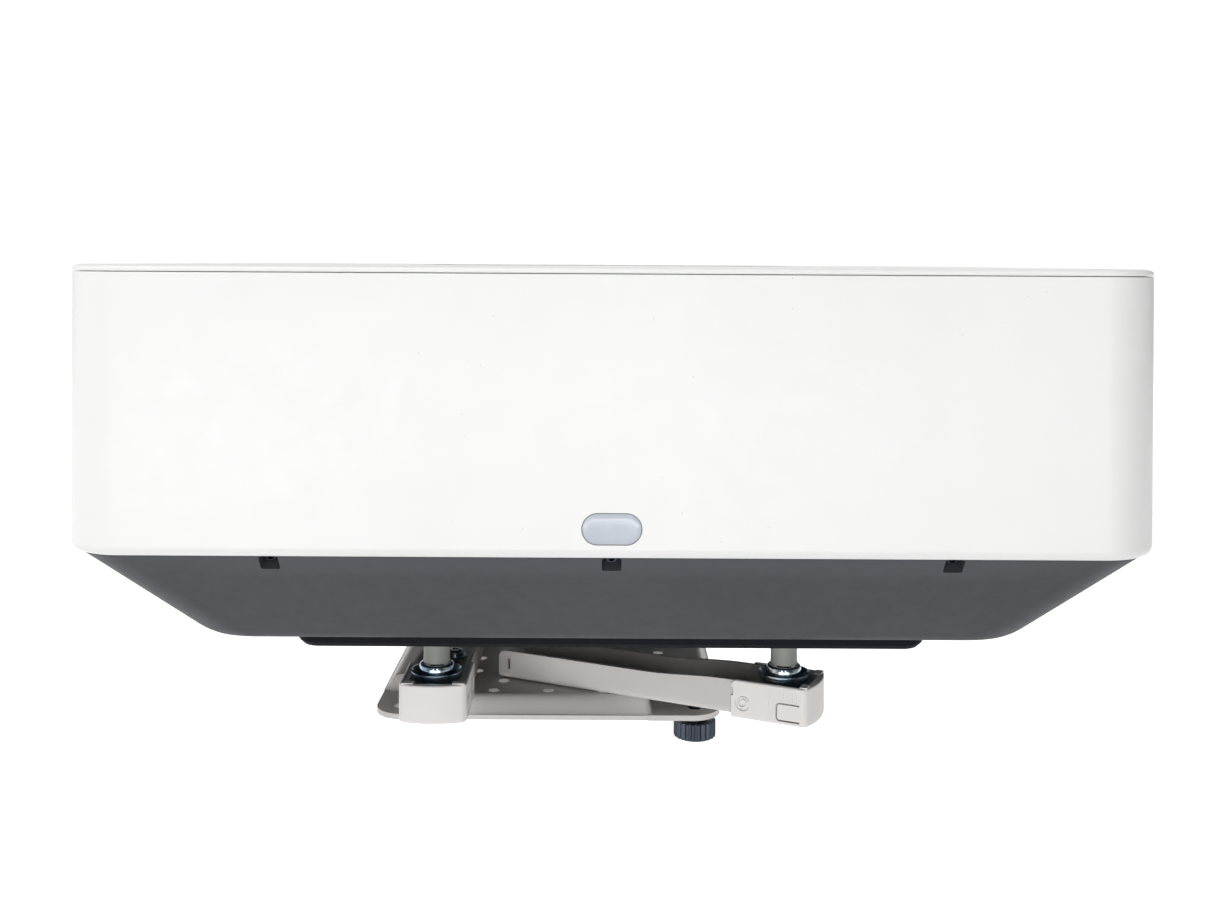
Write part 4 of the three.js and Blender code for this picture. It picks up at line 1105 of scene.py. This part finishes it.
def plate_piece():
    half = PLATE_W / 2
    marks = [0, 8, 16, 24, 32, 40] + [43 + 0.75 * i for i in range(14)] + [56, 60, 64, 67, 69.5]
    marks += [71.5 + 0.73 * i for i in range(13)] + [half]
    line = [-m for m in reversed(marks[1:])] + marks
    knee = half - PLATE_R
    verts = []
    for v in line:
        for u in line:
            x, y = u, v
            ox, oy = abs(u) - knee, abs(v) - knee
            if ox > 0 and oy > 0:
                pull = max(ox, oy) / math.hypot(ox, oy)
                x = math.copysign(knee + ox * pull, u)
                y = math.copysign(knee + oy * pull, v)
            verts.append((x, y, plate_height(x, y)))
    plate = build("plate_pressing", verts, grid_faces(len(line) - 1, len(line) - 1))
    thick = plate.modifiers.new("thick", "SOLIDIFY")
    thick.thickness = PLATE_T * MM
    thick.offset = 0
    places = [(sx * x, sy * y) for x, y in PLATE_HOLES for sx in ((-1, 1) if x else (1,)) for sy in (-1, 1)]
    tools = [rod(2.6, -12, 8, 28, centre=(x, y, 0)) for x, y in places]
    tools += [rod(3.5, -12, 8, 36, centre=(sx * EAR_HOLE, sy * EAR_HOLE, 0)) for sx, sy in CORNERS]
    boolean(plate, [joined("tool", tools)])
    return dress(plate, "mount_powder", replaces="adapter_plate", bevel=0.35, sharp=42)


def arm_mesh(length):
    """A folded channel along x with the post at x = 0."""
    bend, soft_end = 3.0, 3.5
    half = ARM_W / 2

    def top(u):
        height = ARM_TOP + (ARM_END_TOP - ARM_TOP) * smooth((u + 62) / 38)
        back = 1 - min(1, (u + length) / soft_end)
        return height - soft_end * (1 - math.sqrt(1 - back * back))

    def section(u):
        low, inner = ARM_Z, bend - ARM_T
        path = [(half, top(u)), (half, low + bend + 1)]
        path += [(half - bend + bend * math.cos(a), low + bend - bend * math.sin(a))
                 for a in [i * math.pi / 12 for i in range(7)]]
        path += [(-v, z) for v, z in reversed(path)]
        half_in, low_in = half - ARM_T, low + ARM_T
        back = [(half_in, top(u)), (half_in, low_in + inner + 1)]
        back += [(half_in - inner + inner * math.cos(a), low_in + inner - inner * math.sin(a))
                 for a in [i * math.pi / 8 for i in range(5)]]
        back += [(-v, z) for v, z in reversed(back)]
        return [Vector((u, v, z)) for v, z in path + list(reversed(back))]

    stations = [-length + t for t in (0, 0.25, 0.9, 1.9, 3.5)]
    stations += [-62 + 38 * i / 6 for i in range(7)] + [-10, ARM_TIP]
    arm = build("arm", *loft([section(u) for u in stations]))
    through = [(0, 0), (0, 9)]
    slot = loft(stepped(length - 48, 5.2, 2.59, through, -(length + 20) / 2, n=8))
    stud = loft(stepped(6.6, 6.6, 3.29, through, n=8))
    nick = loft(upright(1.5, 5, 0.7, [(0, -20), (0, 20)], Vector((5.5 - length, 0, 10.2)), n=5))
    return boolean(arm, [merged("tool", [slot, stud, nick])])


def cap_outline(inset, z):
    half = CAP_HALF - inset
    stations = (-10, -7, -3.5, 0, 3.5, 7, 10)
    front = [(CAP_FRONT + CAP_BOW * (1 - (v / CAP_HALF) ** 2) - inset, v) for v in stations]
    corner = CAP_FRONT + 0.3 - inset
    corners = [(CAP_BACK + inset, -half, 0.6), (corner, -half, 3.2)]
    corners += [(u, v, 0) for u, v in front]
    corners += [(corner, half, 3.2), (CAP_BACK + inset, half, 0.6)]
    return [Vector((p.x, p.y, z)) for p in filleted(corners)]


TONGUE_BACK, TONGUE_FRONT, TONGUE_LOW, TONGUE_HIGH = 1.2, 11.6, 3.9, 11.4
TONGUE_R, TONGUE_SLOT = 1.5, 0.36
LOCK_X, LOCK_Z, LOCK_R = -14.5, 9.0, 3.5
CHEEK_INSIDE = 13.2             # inward of this a cutter is clear of the cap's cheek


def tongue_slot():
    """Outline of the U-shaped slot round the latch tongue, as (x, z)."""
    def side(out):
        x, low, high = TONGUE_BACK - out, TONGUE_LOW - out, TONGUE_HIGH + out
        return [(TONGUE_FRONT, high, 0), (x, high, TONGUE_R + out), (x, low, TONGUE_R + out),
                (TONGUE_FRONT, low, 0)]

    return filleted(side(TONGUE_SLOT) + side(-TONGUE_SLOT)[::-1])


def ellipse(x, z, across, tall, sides):
    turns = [2 * math.pi * i / sides for i in range(sides)]
    return [Vector((x + across * math.cos(a), z + tall * math.sin(a))) for a in turns]


def cheek_cuts(s):
    """What is cut from one cheek: the latch slot, the grip ribs' grooves and the lock's recess."""
    def between(inner, outer):
        return sorted((s * inner, s * outer))

    cuts = [prism(tongue_slot(), *between(CHEEK_INSIDE, 16), "y")]
    shallow, proud = between(CAP_HALF - 0.22, 16)
    for i in range(14):
        x = i * 0.98 - 2.4
        low = TONGUE_HIGH + 1.2 if x > TONGUE_BACK - 1 else 3.6
        cuts.append(block((x, shallow, low), (x + 0.42, proud, CAP_HIGH - 1.3)))
    cuts.append(prism(ellipse(LOCK_X, LOCK_Z, LOCK_R, LOCK_R, 36), *between(CAP_HALF - 0.85, 16), "y"))
    hole = ellipse(LOCK_X + 0.9, LOCK_Z + 0.4, 1.35, 1.6, 24)
    cuts.append(prism(hole, *between(CHEEK_INSIDE, CAP_HALF - 0.8), "y"))
    return cuts


def cap_mesh():
    """Moulded end cap: a floor, two cheeks and a bowed end, open at the top and back."""
    lower = [(1.1, 0), (0.55, 0.15), (0.15, 0.55), (0, 1.2)]
    upper = [(0, 0.9), (0.1, 0.42), (0.4, 0.12), (0.85, 0)]
    rings = [cap_outline(i, CAP_LOW + z) for i, z in lower]
    rings += [cap_outline(i, CAP_HIGH - z) for i, z in upper]
    cap = build("cap", *loft(rings))
    side, tip = ARM_W / 2 + 0.3, ARM_TIP + 0.3
    seat = filleted([(-30, -side, 0), (tip, -side, 1.5), (tip, side, 1.5), (-30, side, 0)])
    boolean(cap, [tool(prism(seat, ARM_Z - 0.3, 40))])
    tabs = []
    for s in (-1, 1):
        near, far = sorted((s * 8.6, s * 13.9))
        low, high = ARM_END_TOP + 0.25, ARM_END_TOP + 1.05
        tabs.append(block((ARM_TIP - 2.2, near, low), (CAP_FRONT + 0.4, far, high)))
    boolean(cap, [merged("tool", tabs)], "UNION")
    b, t = CAP_BACK, CAP_HIGH
    corner = [(b - 3, t - 2.2, 0), (b, t - 2.2, 0), (b + 2.2, t, 0), (b + 2.2, t + 3, 0), (b - 3, t + 3, 0)]
    notch = [(b - 2, 11.9, 0), (b + 1.2, 11.9, 0.5), (b + 1.2, 15.6, 0.5), (b - 2, 15.6, 0)]
    cuts = [prism(filleted(outline), -20, 20, "y") for outline in (corner, notch)]
    return boolean(cap, [merged("tool", cuts + cheek_cuts(-1) + cheek_cuts(1))])


def spiral_mesh():
    """The spiral ridge of the lock in each cheek, both cheeks in one mesh."""
    section = ((-0.36, 0), (0.36, 0), (0.36, 0.62), (0.2, 0.8), (-0.2, 0.8), (-0.36, 0.62))
    shapes = []
    for s in (-1, 1):
        rings = []
        for k in range(49):
            t = k / 48
            a = math.pi * (0.1 + 2.9 * t)
            r = 2.8 - 1.7 * t
            rings.append([Vector((LOCK_X + (r + across) * math.cos(a), s * (CAP_HALF - 0.87 + out),
                                  LOCK_Z + (r + across) * math.sin(a))) for across, out in section])
        shapes.append(loft(rings))
    return merged("spiral", shapes)


POST_STUD = 18                  # the thread above the post's shoulder, inside the casing


def post_profile(top):
    tip = top + POST_STUD
    return [(0, 3.2), (2.5, 3.2), (3.0, 3.7), (3.0, 24.6), (5.4, 24.6), (6.05, 25.1), (6.05, 26.0),
            (5.9, 26.3), (5.9, top - 0.6), (5.4, top), (3.0, top), (3.0, tip - 0.6), (2.4, tip), (0, tip)]


# Flange nut: collar over a cupped flange; the hexagon below it sits in the channel.
NUT_PROFILE = [(3.3, 15.4), (7.2, 15.4), (9.3, 16.2), (10.9, 18.4), (11.5, 20.6), (11.5, 21.2), (11.1, 21.3),
               (10.5, 20.4), (9.7, 19.4), (8.9, 19.0), (8.2, 19.4), (7.85, 20.4), (7.7, 21.6), (7.7, 23.5),
               (7.3, 24.2), (6.6, 24.4), (6.4, 24.1), (3.3, 24.1), (3.3, 15.4)]
NUT_HEXAGON = [(0, 5.1), (7.9, 5.1), (7.9, 15.6), (0, 15.6)]


def knurled(name, low, high, radius, flutes, depth, place):
    """A turned knob with rounded flutes round its rim."""
    count = flutes * 6
    profile = [(0.25, low), (0.9, low), (1.0, low + 0.5), (1.0, high - 0.5), (0.9, high), (0.25, high)]
    rings = []
    for share, z in profile:
        outline = []
        for i in range(count):
            a = 2 * math.pi * i / count
            wave = depth * (0.5 - 0.5 * math.cos(flutes * a)) if share == 1.0 else depth * 0.5
            r = radius * share - wave
            outline.append(place @ Vector((r * math.cos(a), r * math.sin(a), z)))
        rings.append(outline)
    return build(name, *loft(rings))


def copied(name, source, place):
    mesh = source.data.copy()
    mesh.transform(Matrix.Translation(place.translation * MM) @ place.to_3x3().to_4x4())
    made = bpy.data.objects.new(name, mesh)
    bpy.context.scene.collection.objects.link(made)
    return made


WASHER = [(2.6, 0.02), (5.6, 0.02), (5.8, 0.25), (5.8, 0.9), (5.6, 1.1), (2.6, 1.1), (2.6, 0.02)]
ARM_SCREWS = {SHORT_ARM: (-44, -72), LONG_ARM: (-84, -116)}


def make_legs():
    arms = {length: arm_mesh(length) for length in (SHORT_ARM, LONG_ARM)}
    cap, spiral = cap_mesh(), spiral_mesh()
    top = node_box("post_front_left")[1].z - POST_STUD
    for corner, (yaw, length) in LEGS.items():
        middle = spans(f"post_{corner}")[2]
        seat = Matrix.Translation((middle.x, middle.y, 0)) @ Matrix.Rotation(yaw, 4, "Z")
        arm = copied(f"channel_arm_{corner}", arms[length], seat)
        dress(arm, "mount_powder", replaces=f"arm_{corner}", bevel=0.3, sharp=42)
        end_cap = copied(f"end_cap_{corner}", cap, seat)
        dress(end_cap, "cap_white", replaces=f"arm_cap_{corner}", bevel=0.14, sharp=40)
        dress(copied(f"cap_lock_{corner}", spiral, seat), "cap_white", sharp=50)
        post = turned(f"stand_off_{corner}", post_profile(top), 48, matrix=seat)
        dress(post, "post_grey", replaces=f"post_{corner}", bevel=0.1, sharp=35)
        nut = turned(f"collar_nut_{corner}", NUT_PROFILE, 72, matrix=seat)
        dress(nut, "nut_zinc", replaces=f"flange_nut_{corner}", sharp=60)
        hexagon = turned(f"nut_hexagon_{corner}", NUT_HEXAGON, 6, matrix=seat)
        boolean(hexagon, [rod(3.3, 0, 20, 32, matrix=seat)])
        dress(hexagon, "nut_zinc", bevel=0.3, sharp=40)
        for i, x in enumerate(ARM_SCREWS[length]):
            spot = seat @ Matrix.Translation((x, 0, ARM_Z + ARM_T))
            dress(turned(f"arm_washer_{corner}_{i}", WASHER, 48, matrix=spot), "nut_zinc", sharp=40)
            head = spot @ Matrix.Translation((0, 0, 1.1))
            socket_head_screw(f"arm_screw_{corner}_{i}", head, "nut_zinc", (), 4.2, 2.8)
    for spare in (*arms.values(), cap, spiral):
        bpy.data.objects.remove(spare)


def thumbscrew_piece():
    low, high, middle, _ = spans("thumbscrew")
    place = Matrix.Translation((middle.x, middle.y, 0))
    head = knurled("thumbscrew_head", low.z, low.z + 8.5, 10, 22, 0.9, place)
    dress(head, "screw_steel", "plate_screw", "thumbscrew", bevel=0.15, sharp=50)
    neck = [(0, low.z + 8.2), (6, low.z + 8.2), (6, low.z + 9.6), (5.2, low.z + 10.6), (2.8, low.z + 10.7)]
    z = low.z + 11.2
    while z < high.z - 0.9:
        neck += [(2.8, z), (2.45, z + 0.35), (2.8, z + 0.7)]
        z += 0.8
    neck += [(2.3, high.z), (0, high.z)]
    dress(turned("thumbscrew_shank", neck, 40, matrix=place), "screw_steel", "plate_screw", sharp=25)


def make_mount():
    plate_piece()
    make_legs()
    thumbscrew_piece()


# ---- studio
def area_light(name, place, target, size, power, colour=(1, 1, 1)):
    data = bpy.data.lights.new(name, "AREA")
    data.shape = "RECTANGLE"
    data.size, data.size_y = size
    data.energy = power
    data.color = colour
    light = bpy.data.objects.new(name, data)
    light.location = place
    light.rotation_euler = (Vector(target) - Vector(place)).to_track_quat("-Z", "Y").to_euler()
    bpy.context.scene.collection.objects.link(light)


SKY_LOW, SKY_HIGH = 0.48, 0.35    # brightness of the studio's walls and ceiling
SKY_FRONT = 0.2                  # the dark room behind the camera, up to head height
SKY_BACK = 1.06                  # the white backdrop beyond the object
FLOOR_NEAR, FLOOR_FAR = 0.35, 1.0  # own glow of the floor, in front of the object and beyond it
FLOOR_REACH, FLOOR_Z = 6000, -400


def make_sky():
    """Plain studio walls: dim round the sides, white beyond the object."""
    world = bpy.data.worlds.new("studio")
    world.use_nodes = True
    tree = world.node_tree
    place = tree.nodes.new("ShaderNodeTexCoord").outputs["Generated"]
    split = tree.nodes.new("ShaderNodeSeparateXYZ")
    tree.links.new(place, split.inputs["Vector"])

    def share(value, low, high, start, end):
        step = tree.nodes.new("ShaderNodeMapRange")
        step.interpolation_type = "SMOOTHSTEP"
        for key, number in (("From Min", start), ("From Max", end), ("To Min", low), ("To Max", high)):
            step.inputs[key].default_value = number
        tree.links.new(value, step.inputs["Value"])
        return step.outputs["Result"]

    def combine(operation, a, b):
        step = tree.nodes.new("ShaderNodeMath")
        step.operation = operation
        tree.links.new(a, step.inputs[0])
        tree.links.new(b, step.inputs[1])
        return step.outputs[0]

    height = share(split.outputs["Z"], SKY_LOW, SKY_HIGH, 0.1, 0.8)
    side = share(split.outputs["X"], 1.5, 0.7, -0.7, 0.7)
    backdrop = combine("MULTIPLY", share(split.outputs["Y"], 0, SKY_BACK, 0.84, 0.88),
                       share(split.outputs["Z"], 1, 0, 0.21, 0.3))
    dark = combine("MAXIMUM", share(split.outputs["Y"], SKY_FRONT, 1, -0.75, -0.25),
                   share(split.outputs["Z"], SKY_FRONT, 1, 0.5, 0.7))
    walls = combine("MULTIPLY", combine("MULTIPLY", height, side), dark)
    strength = combine("MAXIMUM", walls, backdrop)
    tree.links.new(strength, tree.nodes["Background"].inputs["Strength"])
    tree.nodes["Background"].inputs["Color"].default_value = (1, 1, 1, 1)
    bpy.context.scene.world = world


def make_studio():
    bpy.context.scene.view_settings.view_transform = "Standard"
    make_sky()
    slab = block((-FLOOR_REACH, -FLOOR_REACH, FLOOR_Z - 20), (FLOOR_REACH, FLOOR_REACH, FLOOR_Z))
    floor = build("floor", *slab)
    paint = plastic("floor_paint", (0.55, 0.55, 0.55), 0.85, 60, 0.02, 2, 0.005)
    paint.set(Emission_Color=(1, 1, 1, 1))
    split = paint.node("ShaderNodeSeparateXYZ")
    paint.link(paint.place, split.inputs["Vector"])
    paint.wire(Emission_Strength=paint.ramp(split.outputs["Y"], FLOOR_NEAR, FLOOR_FAR, 0.0, 0.55))
    floor.data.materials.append(paint.material)
    middle = (BODY_X * MM, 0, 0.1)
    area_light("key", (-0.7, -0.9, 2.3), middle, (1.5, 1.2), 32)
    area_light("low", (-0.2, -2.2, -0.1), (BODY_X * MM, 0, 0.0), (2.6, 0.22), 15)
    for x in (-0.42, 0.2):
        area_light("strip", (x, -1.5, 0.1), middle, (0.07, 0.7), 0.9)
    area_light("rear", (0.6, 2.0, 1.3), middle, (1.6, 1.2), 3)


make_camera()
dress_cad_nodes()
make_casing()
make_inside()
make_mount()
make_studio()
